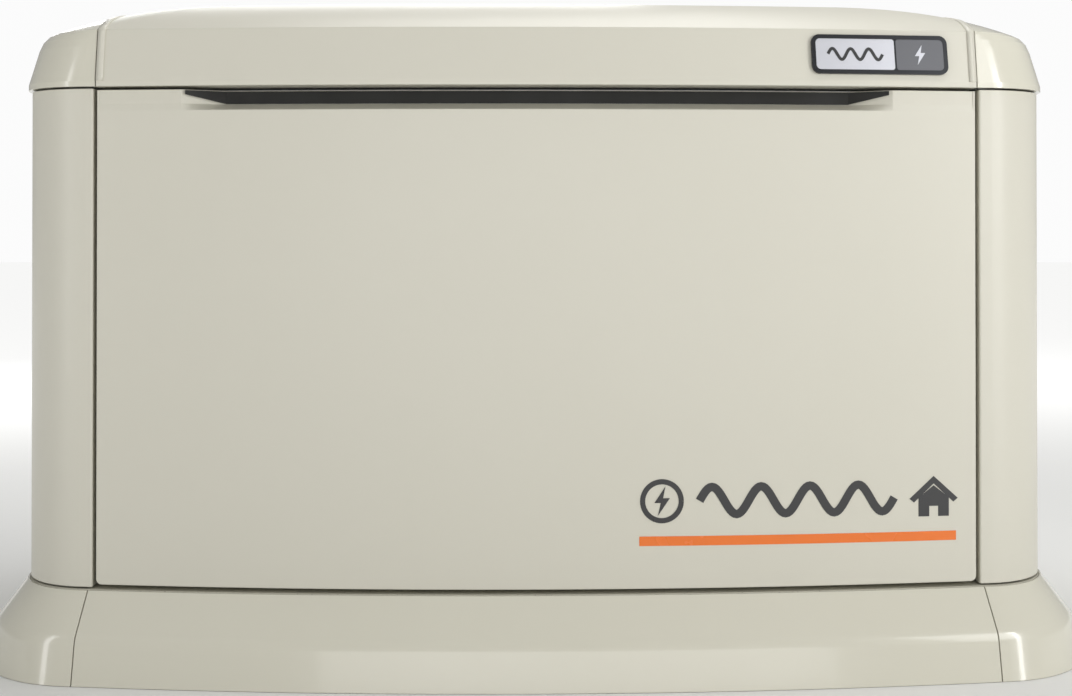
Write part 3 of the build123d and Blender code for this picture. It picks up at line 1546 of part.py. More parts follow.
def fuel_system():
    """Gas regulator behind the inlet, with a diaphragm cover, and the hose up to the mixer."""
    low = entry_z - regulator_height / 2
    front = regulator_rear - regulator_depth
    middle_y = (regulator_rear + front) / 2
    with BuildPart() as regulator:
        with BuildSketch(Plane.XY.offset(low)):
            with Locations((-entry_x, middle_y)):
                RectangleRounded(regulator_width, regulator_depth, 10)
        extrude(amount=regulator_height)
        with BuildSketch(Plane.XY.offset(low + regulator_height)):
            with Locations((-entry_x, middle_y)):
                Circle(diaphragm_radius)
        extrude(amount=14)
        with BuildSketch(Plane.XY.offset(low + regulator_height + 14)):
            with Locations((-entry_x, middle_y)):
                Circle(14)
        extrude(amount=22)
        with BuildSketch(Plane.XY.offset(pad_height)):
            with Locations((-entry_x, middle_y)):
                Rectangle(30, 60)
        extrude(amount=low - pad_height)
        with BuildSketch(Plane.XZ.offset(-regulator_rear + 10)):
            with Locations((-entry_x, entry_z)):
                Circle(fuel_bore + 5)
        extrude(amount=-(entry_inner - regulator_rear + 10))
        with BuildSketch(Plane.XZ.offset(-entry_inner)):
            with Locations((-entry_x, entry_z)):
                Circle(fuel_bore - 3)
        extrude(amount=entry_inner - regulator_rear + 30, mode=Mode.SUBTRACT)
        with BuildSketch(Plane.YZ.offset(-entry_x + regulator_width / 2 - 2)):
            with Locations((middle_y, entry_z)):
                Circle(hose_radius + 2)
        extrude(amount=16)
    save(regulator, "fuel_regulator")
    start = Vector(-entry_x + regulator_width / 2 + 14, middle_y, entry_z)
    with BuildLine() as route:
        FilletPolyline(
            start,
            start + Vector(34, 0, 0),
            Vector(start.X + 34, 214, hose_end_z - 90),
            Vector(-210, 190, hose_end_z),
            Vector(-120, axis_y, hose_end_z),
            Vector(mixer_left, axis_y, hose_end_z),
            radius=20,
        )
    with BuildPart() as hose:
        with BuildSketch(Plane(origin=start, x_dir=(0, 1, 0), z_dir=(1, 0, 0))):
            Circle(hose_radius)
        sweep(path=route.line)
    save(hose, "fuel_hose")


def main():
    os.makedirs("parts", exist_ok=True)
    mounting_pad()
    skirt()
    corner_posts()
    side_panels()
    rear_panel()
    utility_plate()
    front_panel()
    top_frame()
    lid()
    hinges()
    lock_housing()
    lock_cylinder()
    lock_cover()
    lid_strikers()
    badge()
    panel_screws()
    cradle()
    crankcase()
    dipstick()
    crankshaft()
    flywheel()
    blower()
    cylinders()
    intake()
    engine_accessories()
    alternator()
    exhaust()
    controls()
    battery()
    fuel_system()


main()
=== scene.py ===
"""Looks of a home standby generator: a powder-coated enclosure on a moulded pad, its lid and
front panel, and the engine, alternator and controls inside."""

import json
import math

import bpy
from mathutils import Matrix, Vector

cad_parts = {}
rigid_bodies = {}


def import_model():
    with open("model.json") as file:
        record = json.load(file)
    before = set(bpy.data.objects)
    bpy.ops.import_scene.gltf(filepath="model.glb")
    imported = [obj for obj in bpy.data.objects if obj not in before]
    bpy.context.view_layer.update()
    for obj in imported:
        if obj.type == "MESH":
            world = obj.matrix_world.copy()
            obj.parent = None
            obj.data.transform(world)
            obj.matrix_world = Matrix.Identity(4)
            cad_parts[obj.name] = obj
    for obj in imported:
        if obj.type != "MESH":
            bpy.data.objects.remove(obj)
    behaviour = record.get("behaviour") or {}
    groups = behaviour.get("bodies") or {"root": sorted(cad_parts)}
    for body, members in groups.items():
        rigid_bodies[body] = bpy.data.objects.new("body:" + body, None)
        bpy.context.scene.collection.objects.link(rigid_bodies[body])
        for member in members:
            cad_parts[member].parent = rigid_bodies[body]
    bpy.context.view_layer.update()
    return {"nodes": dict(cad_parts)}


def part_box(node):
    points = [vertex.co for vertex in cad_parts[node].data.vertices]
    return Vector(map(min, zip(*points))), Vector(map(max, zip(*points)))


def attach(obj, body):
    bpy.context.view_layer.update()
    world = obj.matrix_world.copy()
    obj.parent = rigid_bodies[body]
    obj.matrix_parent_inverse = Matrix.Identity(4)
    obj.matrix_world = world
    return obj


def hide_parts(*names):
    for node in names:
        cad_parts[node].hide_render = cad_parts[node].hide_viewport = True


MM = 0.001

for spare in list(bpy.data.objects):
    bpy.data.objects.remove(spare, do_unlink=True)

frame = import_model()
nodes = frame["nodes"]


# ---- how a maker works in here -------------------------------------------------------------
def linear(code):
    """An sRGB hex colour as linear light, with full cover."""
    shares = [int(code[place : place + 2], 16) / 255 for place in (1, 3, 5)]
    return [s / 12.92 if s <= 0.04045 else ((s + 0.055) / 1.055) ** 2.4 for s in shares] + [1.0]


def add(tree, kind, settings=None, links=None):
    """Adds one shader node, sets its sockets and properties by name, and links its inputs."""
    made = tree.nodes.new(kind)
    for key, value in (settings or {}).items():
        if isinstance(key, int) or key in made.inputs:
            made.inputs[key].default_value = value
        else:
            setattr(made, key, value)
    for key, output in (links or {}).items():
        tree.links.new(output, made.inputs[key])
    return made


def blank(name, **sockets):
    """A new material with its shader's even values set, its tree and its object coordinates."""
    made = bpy.data.materials.new(name)
    made.use_nodes = True
    tree = made.node_tree
    shader = tree.nodes["Principled BSDF"]
    for key, value in sockets.items():
        shader.inputs[key.replace("_", " ")].default_value = value
    place = add(tree, "ShaderNodeTexCoord").outputs["Object"]
    return made, tree, shader, place


def scale_of(size_mm):
    """How many pattern cells of one size fit in a metre."""
    return 1000.0 / size_mm


def finish(
    name,
    base,
    shade,
    patch_mm,
    grain_mm,
    grain_depth,
    rough=(0.4, 0.5),
    edge_mm=0.0,
    speck=None,
    **sockets,
):
    """A surface whose colour drifts in patches, whose gloss is uneven and whose skin has a grain."""
    made, tree, shader, place = blank(name, **sockets)
    patches = add(
        tree, "ShaderNodeTexNoise", {"Scale": scale_of(patch_mm), "Detail": 4.0}, {"Vector": place}
    )
    colour = add(
        tree,
        "ShaderNodeMix",
        {"data_type": "RGBA", 6: linear(base), 7: linear(shade)},
        {0: patches.outputs["Fac"]},
    ).outputs[2]
    if speck:
        code, size_mm, cover = speck
        dots = add(
            tree, "ShaderNodeTexNoise", {"Scale": scale_of(size_mm), "Detail": 1.0}, {"Vector": place}
        )
        mask = add(
            tree,
            "ShaderNodeMapRange",
            {"From Min": 0.72 - cover, "From Max": 0.76 - cover},
            {"Value": dots.outputs["Fac"]},
        )
        colour = add(
            tree,
            "ShaderNodeMix",
            {"data_type": "RGBA", 7: linear(code)},
            {0: mask.outputs[0], 6: colour},
        ).outputs[2]
    tree.links.new(colour, shader.inputs["Base Color"])
    gloss = add(
        tree,
        "ShaderNodeMapRange",
        {"From Min": 0.3, "From Max": 0.7, "To Min": rough[0], "To Max": rough[1]},
        {"Value": patches.outputs["Fac"]},
    )
    tree.links.new(gloss.outputs[0], shader.inputs["Roughness"])
    grain = add(
        tree, "ShaderNodeTexNoise", {"Scale": scale_of(grain_mm), "Detail": 2.0}, {"Vector": place}
    )
    skin = add(
        tree,
        "ShaderNodeBump",
        {"Strength": 1.0, "Distance": grain_depth * MM},
        {"Height": grain.outputs["Fac"]},
    )
    if edge_mm:
        soft = add(tree, "ShaderNodeBevel", {"samples": 4, "Radius": edge_mm * MM})
        tree.links.new(soft.outputs[0], skin.inputs["Normal"])
    tree.links.new(skin.outputs[0], shader.inputs["Normal"])
    return made


# ---- materials -----------------------------------------------------------------------------
# Polyester powder coat, sprayed and baked on steel: a bisque satin skin with a fine orange peel.
powder_coat = finish(
    "polyester_powder_coat", "#D8D5C8", "#D4D1C3", 420, 2.6, 0.035, (0.34, 0.4), edge_mm=1.6
)
# ASA, injection moulded in the coat's colour: smoother, and glossier where it turns a corner.
moulded_asa = finish(
    "moulded_asa", "#DCD9CA", "#D7D4C4", 300, 5.0, 0.02, (0.17, 0.22), edge_mm=1.2,
    Coat_Weight=0.5, Coat_Roughness=0.06,
)
# Glass-filled polymer pad, compression moulded: a dull, slightly mealy putty grey.
pad_polymer = finish(
    "glass_filled_polymer", "#C9C6B6", "#BDBAAA", 90, 1.6, 0.12, (0.5, 0.62),
    speck=("#A9A697", 3.0, 0.06), edge_mm=1.5,
)
# EPDM rubber, extruded: near black, matt, with a little grey bloom.
epdm = finish("extruded_epdm", "#1B1B1A", "#262624", 40, 0.8, 0.05, (0.62, 0.78))
# Zinc alloy, die-cast and barrel-plated: bright grey with soft tumbled dents.
zinc_cast = finish(
    "plated_zinc_die_casting", "#B9BABB", "#9FA1A3", 30, 3.0, 0.03, (0.26, 0.4), Metallic=1.0
)
# Anodised aluminium plate for the badge: a cool satin silver.
anodised = finish(
    "anodised_aluminium", "#C9CACB", "#BFC0C2", 60, 0.8, 0.01, (0.3, 0.36), Metallic=1.0
)
# Aluminium, sand-cast: pale grey, rough as fine sandpaper, slightly mottled by the shot blast.
cast_aluminium = finish(
    "sand_cast_aluminium", "#A7A9AA", "#8E9091", 45, 1.4, 0.16, (0.42, 0.58), Metallic=1.0,
    edge_mm=1.0,
)
# Carbon steel, turned and oiled: darker and glossier than the castings.
turned_steel = finish(
    "turned_steel", "#8E8F90", "#7B7C7E", 25, 0.5, 0.01, (0.2, 0.32), Metallic=1.0
)
# Grey iron, sand-cast and painted with a thin primer: dark and grainy.
grey_iron = finish(
    "sand_cast_iron", "#4A4C4E", "#3B3D3F", 35, 1.2, 0.2, (0.5, 0.66), Metallic=0.6
)
# Alkyd enamel, sprayed black on pressed steel: glossy with slight runs.
black_enamel = finish(
    "black_alkyd_enamel", "#141516", "#1B1C1D", 120, 3.0, 0.03, (0.22, 0.32), edge_mm=0.8
)
# Polypropylene, injection moulded in black with a spark-eroded grain.
black_pp = finish("moulded_black_polypropylene", "#1E1F20", "#262728", 60, 0.9, 0.06, (0.42, 0.5))
# Textured grey epoxy on the control box: a hard, pebbled skin.
grey_epoxy = finish(
    "textured_grey_epoxy", "#6F7274", "#66696B", 150, 1.3, 0.14, (0.46, 0.56), edge_mm=0.8
)
# ABS, moulded dark for the controller's face: low sheen, very fine grain.
controller_abs = finish("moulded_controller_abs", "#2A2D31", "#24272A", 80, 0.6, 0.03, (0.36, 0.44))
# Silicone keys, moulded in their own colours with a soft touch.
key_green = finish("silicone_key_green", "#2F8C4A", "#2A8043", 12, 0.5, 0.02, (0.5, 0.6))
key_red = finish("silicone_key_red", "#B93430", "#AA2E2B", 12, 0.5, 0.02, (0.5, 0.6))
key_grey = finish("silicone_key_grey", "#8C9094", "#83878B", 12, 0.5, 0.02, (0.5, 0.6))
# Orange and charcoal vinyl, screen printed and clear coated: flat colour under a glossy film.
orange_ink = finish(
    "screen_printed_orange_vinyl", "#F27A22", "#EC731D", 80, 2.0, 0.01, (0.24, 0.3),
    Coat_Weight=0.4, Coat_Roughness=0.1,
)
charcoal_ink = finish(
    "screen_printed_charcoal_vinyl", "#2B2B2C", "#303031", 80, 2.0, 0.01, (0.26, 0.32),
    Coat_Weight=0.4, Coat_Roughness=0.1,
)


def galvanised():
    """Hot-dip galvanised sheet: zinc crystals about 9 mm across, each with its own grey."""
    made, tree, shader, place = blank("hot_dip_galvanised_steel", Metallic=0.9)
    spangle = add(
        tree, "ShaderNodeTexVoronoi", {"Scale": scale_of(9)}, {"Vector": place}
    )
    tint = add(
        tree,
        "ShaderNodeMapRange",
        {"To Min": 0.36, "To Max": 0.54},
        {"Value": spangle.outputs["Color"]},
    )
    tree.links.new(tint.outputs[0], shader.inputs["Base Color"])
    gloss = add(
        tree,
        "ShaderNodeMapRange",
        {"To Min": 0.3, "To Max": 0.5},
        {"Value": spangle.outputs["Color"]},
    )
    tree.links.new(gloss.outputs[0], shader.inputs["Roughness"])
    grain = add(
        tree, "ShaderNodeTexNoise", {"Scale": scale_of(4), "Detail": 3.0}, {"Vector": place}
    )
    skin = add(
        tree, "ShaderNodeBump", {"Distance": 0.04 * MM}, {"Height": grain.outputs["Fac"]}
    )
    tree.links.new(skin.outputs[0], shader.inputs["Normal"])
    return made


def heat_tinted():
    """Aluminised steel of the exhaust: dull silver that has browned and blued in bands by heat."""
    made, tree, shader, place = blank("aluminised_exhaust_steel", Metallic=1.0)
    drift = add(
        tree, "ShaderNodeTexNoise", {"Scale": scale_of(160), "Detail": 5.0}, {"Vector": place}
    )
    tint = add(tree, "ShaderNodeValToRGB", links={"Fac": drift.outputs["Fac"]})
    ramp = tint.color_ramp
    for share, code in ((0.36, "#9C9A95"), (0.5, "#A0907A"), (0.6, "#8B7A6C"), (0.68, "#77798A")):
        step = ramp.elements.new(share)
        step.color = linear(code)
    ramp.elements.remove(ramp.elements[-1])
    ramp.elements.remove(ramp.elements[0])
    tree.links.new(tint.outputs["Color"], shader.inputs["Base Color"])
    gloss = add(
        tree,
        "ShaderNodeMapRange",
        {"From Min": 0.3, "From Max": 0.7, "To Min": 0.34, "To Max": 0.56},
        {"Value": drift.outputs["Fac"]},
    )
    tree.links.new(gloss.outputs[0], shader.inputs["Roughness"])
    grain = add(
        tree, "ShaderNodeTexNoise", {"Scale": scale_of(2), "Detail": 2.0}, {"Vector": place}
    )
    skin = add(
        tree, "ShaderNodeBump", {"Distance": 0.05 * MM}, {"Height": grain.outputs["Fac"]}
    )
    tree.links.new(skin.outputs[0], shader.inputs["Normal"])
    return made


def open_cell_foam():
    """Charcoal open-cell polyurethane foam: matt, with pores drawn at 2.2 mm so that they show."""
    made, tree, shader, place = blank("open_cell_polyurethane_foam", Roughness=0.95)
    pores = add(tree, "ShaderNodeTexVoronoi", {"Scale": scale_of(2.2)}, {"Vector": place})
    colour = add(
        tree,
        "ShaderNodeMix",
        {"data_type": "RGBA", 6: linear("#1C1D1F"), 7: linear("#4A4C50")},
        {0: pores.outputs["Distance"]},
    )
    tree.links.new(colour.outputs[2], shader.inputs["Base Color"])
    skin = add(
        tree, "ShaderNodeBump", {"Distance": 0.8 * MM}, {"Height": pores.outputs["Distance"]}
    )
    tree.links.new(skin.outputs[0], shader.inputs["Normal"])
    return made


def lamination():
    """Stacked silicon-steel laminations, drawn 1.5 mm thick so that the stack shows."""
    made, tree, shader, place = blank("stacked_silicon_steel", Metallic=0.9, Roughness=0.42)
    stack = add(
        tree,
        "ShaderNodeTexWave",
        {"Scale": scale_of(1.5) / 20, "bands_direction": "X", "Distortion": 0.2},
        {"Vector": place},
    )
    colour = add(
        tree,
        "ShaderNodeMix",
        {"data_type": "RGBA", 6: linear("#55575A"), 7: linear("#7E8083")},
        {0: stack.outputs["Fac"]},
    )
    tree.links.new(colour.outputs[2], shader.inputs["Base Color"])
    skin = add(tree, "ShaderNodeBump", {"Distance": 0.2 * MM}, {"Height": stack.outputs["Fac"]})
    tree.links.new(skin.outputs[0], shader.inputs["Normal"])
    return made


galvanised_sheet = galvanised()
exhaust_steel = heat_tinted()
foam = open_cell_foam()
laminated_steel = lamination()

slot_finish = {
    "enclosure_powder_coat": powder_coat,
    "moulded_cap": moulded_asa,
    "pad_composite": pad_polymer,
    "galvanised_steel": galvanised_sheet,
    "seal_rubber": epdm,
    "acoustic_foam": foam,
    "lock_zinc": zinc_cast,
    "badge_plate": anodised,
    "cast_aluminium": cast_aluminium,
    "machined_steel": turned_steel,
    "cast_iron": grey_iron,
    "black_paint": black_enamel,
    "aluminised_steel": exhaust_steel,
    "black_plastic": black_pp,
    "control_paint": grey_epoxy,
    "controller_plastic": controller_abs,
    "button_green": key_green,
    "button_red": key_red,
    "button_grey": key_grey,
}
# Anodised aluminium dyed charcoal: the badge's frame.
dark_anodised = finish(
    "charcoal_anodised_aluminium", "#37383B", "#303134", 60, 0.8, 0.01, (0.26, 0.34), Metallic=0.7
)
# Slate-grey printed field beside the silver one.
slate_ink = finish(
    "screen_printed_slate", "#6B6C70", "#66676B", 50, 1.0, 0.01, (0.3, 0.38), Metallic=0.4
)
# Pearly silver ink, screen printed on the badge's field and its bolt.
silver_ink = finish(
    "screen_printed_silver", "#D3D4DA", "#C9CAD1", 50, 1.0, 0.01, (0.32, 0.4), Metallic=0.55
)
# Polycarbonate window over a liquid crystal display: smooth and almost black green.
display_glass = finish(
    "display_window", "#39443B", "#354038", 60, 2.0, 0.004, (0.08, 0.12), Coat_Weight=0.6
)
# Liquid crystal segments, dark on the grey-green glass.
display_mark = finish("display_segments", "#0F1512", "#111814", 60, 2.0, 0.004, (0.2, 0.26))

node_finish = {"stator": laminated_steel, "rotor": laminated_steel, "badge": dark_anodised}

for name, node in nodes.items():
    for held in node.material_slots:
        held.material = node_finish.get(name) or slot_finish[held.material.name.split(".")[0]]


# ---- shaping tools -------------------------------------------------------------------------
def only(piece):
    """Deselects all, then selects one piece and makes it the active one."""
    bpy.ops.object.select_all(action="DESELECT")
    piece.select_set(True)
    bpy.context.view_layer.objects.active = piece


def settle(piece, material, body, name):
    """Puts a finished piece's place into its mesh, and gives it its name, finish and body."""
    only(piece)
    bpy.ops.object.transform_apply(location=True, rotation=True, scale=True)
    piece.name = name
    piece.data.name = name
    piece.data.materials.clear()
    piece.data.materials.append(material)
    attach(piece, body)
    return piece


def apply(piece, kind, **settings):
    """Adds one modifier with its settings and applies it."""
    only(piece)
    made = piece.modifiers.new(kind.title(), kind)
    for key, value in settings.items():
        setattr(made, key, value)
    bpy.ops.object.modifier_apply(modifier=made.name)


def join(pieces):
    """Joins pieces into the first one."""
    only(pieces[0])
    for piece in pieces[1:]:
        piece.select_set(True)
    bpy.ops.object.join()
    return pieces[0]


def copy_of(node_name):
    """A merged copy of a CAD node's mesh, free to be shaped."""
    only(nodes[node_name])
    bpy.ops.object.duplicate()
    made = bpy.context.view_layer.objects.active
    made.parent = None
    bpy.ops.object.mode_set(mode="EDIT")
    bpy.ops.mesh.select_all(action="SELECT")
    bpy.ops.mesh.customdata_custom_splitnormals_clear()
    bpy.ops.mesh.remove_doubles(threshold=0.01 * MM)
    bpy.ops.object.mode_set(mode="OBJECT")
    for key in [k for k in made.keys() if k.startswith("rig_")]:
        del made[key]
    return made


def pick_faces(piece, wanted):
    """Selects the faces for which wanted(centre, normal) holds, with the piece left in edit mode."""
    only(piece)
    bpy.ops.object.mode_set(mode="EDIT")
    bpy.ops.mesh.select_mode(type="FACE")
    bpy.ops.mesh.select_all(action="DESELECT")
    bpy.ops.object.mode_set(mode="OBJECT")
    for face in piece.data.polygons:
        face.select = wanted(face.center, face.normal)
    bpy.ops.object.mode_set(mode="EDIT")


# ---- lid seam covers -----------------------------------------------------------------------
SEAM_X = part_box("lid_roof")[1][0]
SEAM_COVER_WIDTH = 8 * MM
SEAM_COVER_LOWEST = 0.633


def seam_cover(side):
    """A thin lapped strip over the joint between the lid's roof and one end cap."""
    edge = SEAM_X * side
    inner = edge - SEAM_COVER_WIDTH * side
    strip = copy_of("lid_roof")
    only(strip)
    bpy.ops.object.mode_set(mode="EDIT")
    for plane, keeps in ((edge - 0.0002 * side, -side), (inner, side)):
        bpy.ops.mesh.select_all(action="SELECT")
        bpy.ops.mesh.bisect(
            plane_co=(plane, 0, 0), plane_no=(keeps, 0, 0), clear_inner=True, use_fill=False
        )
    bpy.ops.object.mode_set(mode="OBJECT")
    middle = Vector((0, 0, 0.56))
    pick_faces(
        strip,
        lambda centre, normal: normal.dot(Vector((0, centre.y, centre.z)) - middle) <= 0.0
        or abs(normal.x) > 0.8 or centre.z < SEAM_COVER_LOWEST,
    )
    bpy.ops.mesh.delete(type="FACE")
    bpy.ops.object.mode_set(mode="OBJECT")
    apply(strip, "SOLIDIFY", thickness=1.6 * MM, offset=0.6)
    return settle(
        strip, powder_coat, "lid",
        "lid_seam_cover_left" if side < 0 else "lid_seam_cover_right",
    )


for side in (-1, 1):
    seam_cover(side)


# ---- flat shapes laid on a surface ---------------------------------------------------------
def plate(points, thickness):
    """A thin upright plate with its outline in X and Z, standing off towards -Y."""
    bpy.ops.object.select_all(action="DESELECT")
    bpy.ops.mesh.primitive_circle_add(vertices=len(points), radius=1.0, fill_type="NGON")
    made = bpy.context.view_layer.objects.active
    for vertex, (x, z) in zip(made.data.vertices, points):
        vertex.co = (x * MM, 0, z * MM)
    return thicken(made, thickness)


def band(path, width, thickness):
    """A thin upright ribbon of even width along a path of X and Z points."""
    bpy.ops.object.select_all(action="DESELECT")
    steps = len(path) - 1
    bpy.ops.mesh.primitive_grid_add(x_subdivisions=steps, y_subdivisions=1, size=2.0)
    made = bpy.context.view_layer.objects.active
    for vertex in made.data.vertices:
        step = round((vertex.co.x + 1) / 2 * steps)
        before, after = path[max(step - 1, 0)], path[min(step + 1, steps)]
        along = (Vector(after) - Vector(before)).normalized()
        side = (-along.y, along.x)
        x, z = (path[step][i] + side[i] * width / 2 * vertex.co.y for i in (0, 1))
        vertex.co = (x * MM, 0, z * MM)
    return thicken(made, thickness)


def thicken(piece, thickness):
    """Gives a flat piece its thickness towards -Y, closed all round."""
    only(piece)
    bpy.ops.object.mode_set(mode="EDIT")
    bpy.ops.mesh.select_all(action="SELECT")
    bpy.ops.mesh.extrude_region_move(
        TRANSFORM_OT_translate={"value": (0, -thickness * MM, 0)}
    )
    bpy.ops.mesh.select_all(action="SELECT")
    bpy.ops.mesh.normals_make_consistent(inside=False)
    bpy.ops.object.mode_set(mode="OBJECT")
    return piece


def ring_of(centre, radius, width, thickness):
    """A thin upright ring."""
    turns = [2 * math.pi * step / 48 for step in range(49)]
    path = [
        (centre[0] + radius * math.cos(turn), centre[1] + radius * math.sin(turn))
        for turn in turns
    ]
    made = band(path, width, thickness)
    bpy.ops.object.mode_set(mode="EDIT")
    bpy.ops.mesh.select_all(action="SELECT")
    bpy.ops.mesh.remove_doubles(threshold=0.05 * MM)
    bpy.ops.object.mode_set(mode="OBJECT")
    return made


def rounded(width, height, radius, centre=(0, 0)):
    """The outline of a rectangle with round corners."""
    outline = []
    for corner, (sx, sz) in enumerate(((1, 1), (-1, 1), (-1, -1), (1, -1))):
        for step in range(7):
            turn = math.pi / 2 * (corner + step / 6)
            outline.append(
                (
                    centre[0] + sx * (width / 2 - radius) + radius * math.cos(turn),
                    centre[1] + sz * (height / 2 - radius) + radius * math.sin(turn),
                )
            )
    return outline


def bolt_of_lightning(centre, height):
    """The outline of a plain zigzag bolt."""
    shape = ((0.12, 0.5), (-0.26, -0.06), (-0.04, -0.06), (-0.14, -0.5), (0.27, 0.1), (0.04, 0.1))
    return [(centre[0] + x * height, centre[1] + z * height) for x, z in shape]


def wave(start, length, middle, swing, cycles):
    """Points along a plain alternating-current wave."""
    steps = int(cycles * 24)
    return [
        (
            start + length * step / steps,
            middle + swing * math.sin(2 * math.pi * cycles * step / steps),
        )
        for step in range(steps + 1)
    ]


DOOR_LOW, DOOR_HIGH = (Vector(corner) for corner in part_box("front_panel"))
DOOR_BOW = 30 * MM
BOW_RADIUS = (DOOR_HIGH.x**2 + DOOR_BOW**2) / (2 * DOOR_BOW)
BOW_CENTRE_Y = DOOR_LOW.y + BOW_RADIUS


def bend_to_door(piece, lift=0.0):
    """Wraps a flat piece round the door's bow, with X measured along the bow."""
    for vertex in piece.data.vertices:
        reach = BOW_RADIUS + lift - vertex.co.y
        turn = vertex.co.x / BOW_RADIUS
        vertex.co.x = reach * math.sin(turn)
        vertex.co.y = BOW_CENTRE_Y - reach * math.cos(turn)
    return piece


def place_on(piece, origin, across, up):
    """Moves a flat piece so that its X runs across, its Z runs up and its face looks out."""
    across, up = Vector(across).normalized(), Vector(up).normalized()
    out = up.cross(across)
    for vertex in piece.data.vertices:
        x, y, z = vertex.co
        vertex.co = Vector(origin) + across * x + up * z + out * y
    return piece


# ---- vinyl on the front panel --------------------------------------------------------------
VINYL = 0.3
FROM_X, TO_X, MARK_Z = 106.0, 450.0, 187.0


def door_vinyl():
    """A bolt in a ring, a wave and a house in charcoal, over one even orange bar."""
    ring_x, house_x = FROM_X + 24, TO_X - 25
    body_top = MARK_Z - 1
    house = [
        (house_x - 17, MARK_Z - 21), (house_x - 5, MARK_Z - 21), (house_x - 5, body_top - 9),
        (house_x + 5, body_top - 9), (house_x + 5, MARK_Z - 21), (house_x + 17, MARK_Z - 21),
        (house_x + 17, body_top), (house_x, body_top + 13), (house_x - 17, body_top),
    ]
    roof = [
        (house_x - 27, body_top - 1), (house_x - 22, body_top - 5), (house_x, body_top + 15),
        (house_x + 22, body_top - 5), (house_x + 27, body_top - 1), (house_x, body_top + 23),
    ]
    marks = join([
        ring_of((ring_x, MARK_Z), 20.5, 5.5, VINYL),
        plate(bolt_of_lightning((ring_x, MARK_Z), 31), VINYL),
        band(wave(ring_x + 40, house_x - ring_x - 84, MARK_Z, 14.5, 4), 9.0, VINYL),
        plate(house, VINYL),
        plate(roof, VINYL),
    ])
    settle(
        bend_to_door(marks, 0.02 * MM), charcoal_ink, "front_panel",
        "front_vinyl_marks",
    )
    steps = 40
    line = [(FROM_X + (TO_X - FROM_X) * step / steps, 145.0) for step in range(steps + 1)]
    settle(
        bend_to_door(band(line, 10.0, VINYL), 0.02 * MM), orange_ink, "front_panel",
        "front_vinyl_bar",
    )


door_vinyl()


def recess_shade_strip():
    """A black EPDM strip along the back wall of the finger recess, under the lid's edge: painted
    shade for the lid's shadow in the recess.
    """
    deep, flat_to, ends = 24.4, 338.0, 376.0
    steps = 60
    middle_z = DOOR_HIGH.z / MM - 7.6
    line = [(-ends + 2 * ends * step / steps, middle_z) for step in range(steps + 1)]
    strip = band(line, 13.4, 1.6)
    for vertex in strip.data.vertices:
        ramp = max(0.0, abs(vertex.co.x) / MM - flat_to) / (ends - flat_to)
        vertex.co.y += deep * (1 - 0.96 * ramp) * MM
        if ramp > 0.0 and vertex.co.z / MM < middle_z:
            vertex.co.z += 9.0 * ramp * MM
    # Painted shade: the black strip darkens the recess where the lid's lip casts its shadow.
    settle(bend_to_door(strip), epdm, "front_panel", "recess_shade_strip")


recess_shade_strip()


# ---- badge on the lid ----------------------------------------------------------------------
BADGE_LOW, BADGE_HIGH = (Vector(corner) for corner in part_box("badge"))
BADGE_LEAN = math.atan2(10, 56)
BADGE_FIELD = 141.0, 34.0


def lid_badge():
    """Silver and slate fields sunk in the badge's frame, with a wave and a bolt on them."""
    middle = (BADGE_LOW + BADGE_HIGH) / 2
    turn = math.asin(middle.x / BOW_RADIUS)
    across = Vector((math.cos(turn), math.sin(turn), 0))
    up = Vector(
        (-math.sin(turn) * math.sin(BADGE_LEAN), math.cos(turn) * math.sin(BADGE_LEAN),
         math.cos(BADGE_LEAN))
    )
    out = up.cross(across)
    face = max((Vector(v.co) - middle).dot(-out) for v in nodes["badge"].data.vertices)
    floor = middle - out * (face - 0.7 * MM)
    width, height = BADGE_FIELD
    split, seam = 0.62, 2.0
    left, right = width * split - seam / 2, width * (1 - split) - seam / 2
    left_x, right_x = -width / 2 + left / 2, width / 2 - right / 2
    fields = (
        ("badge_silver_field", rounded(left, height, 3, (left_x, 0)), 0.4, silver_ink),
        ("badge_slate_field", rounded(right, height, 3, (right_x, 0)), 0.4, slate_ink),
    )
    for name, outline, thickness, ink in fields:
        piece = place_on(plate(outline, thickness), floor, across, up)
        settle(piece, ink, "lid", name)
    line = band(wave(left_x - 30, 60, 0, 6, 3), 3.4, 0.25)
    bolt = plate(bolt_of_lightning((right_x, 0), 22), 0.25)
    marks = (("badge_wave", line, charcoal_ink), ("badge_bolt", bolt, silver_ink))
    for name, piece, ink in marks:
        place_on(piece, floor - out * 0.38 * MM, across, up)
        settle(piece, ink, "lid", name)


lid_badge()


# ---- foam under the roof -------------------------------------------------------------------
def roof_foam():
    """Egg-crate foam: cells pressed into the pad's underside in an even grid."""
    cell, sink = 44 * MM, 10 * MM
    pad = copy_of("lid_foam")
    apply(pad, "REMESH", mode="VOXEL", voxel_size=5 * MM)
    below = [vertex.index for vertex in pad.data.vertices if vertex.normal.z < -0.6]
    for vertex in (pad.data.vertices[index] for index in below):
        x, y, z = vertex.co
        wave_x = math.cos(2 * math.pi * x / cell)
        wave_y = math.cos(2 * math.pi * y / cell)
        vertex.co.z = z + sink * (0.5 - 0.5 * wave_x * wave_y)
    only(pad)
    bpy.ops.object.shade_smooth()
    settle(pad, foam, "lid", "roof_foam")
    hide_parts("lid_foam")


roof_foam()


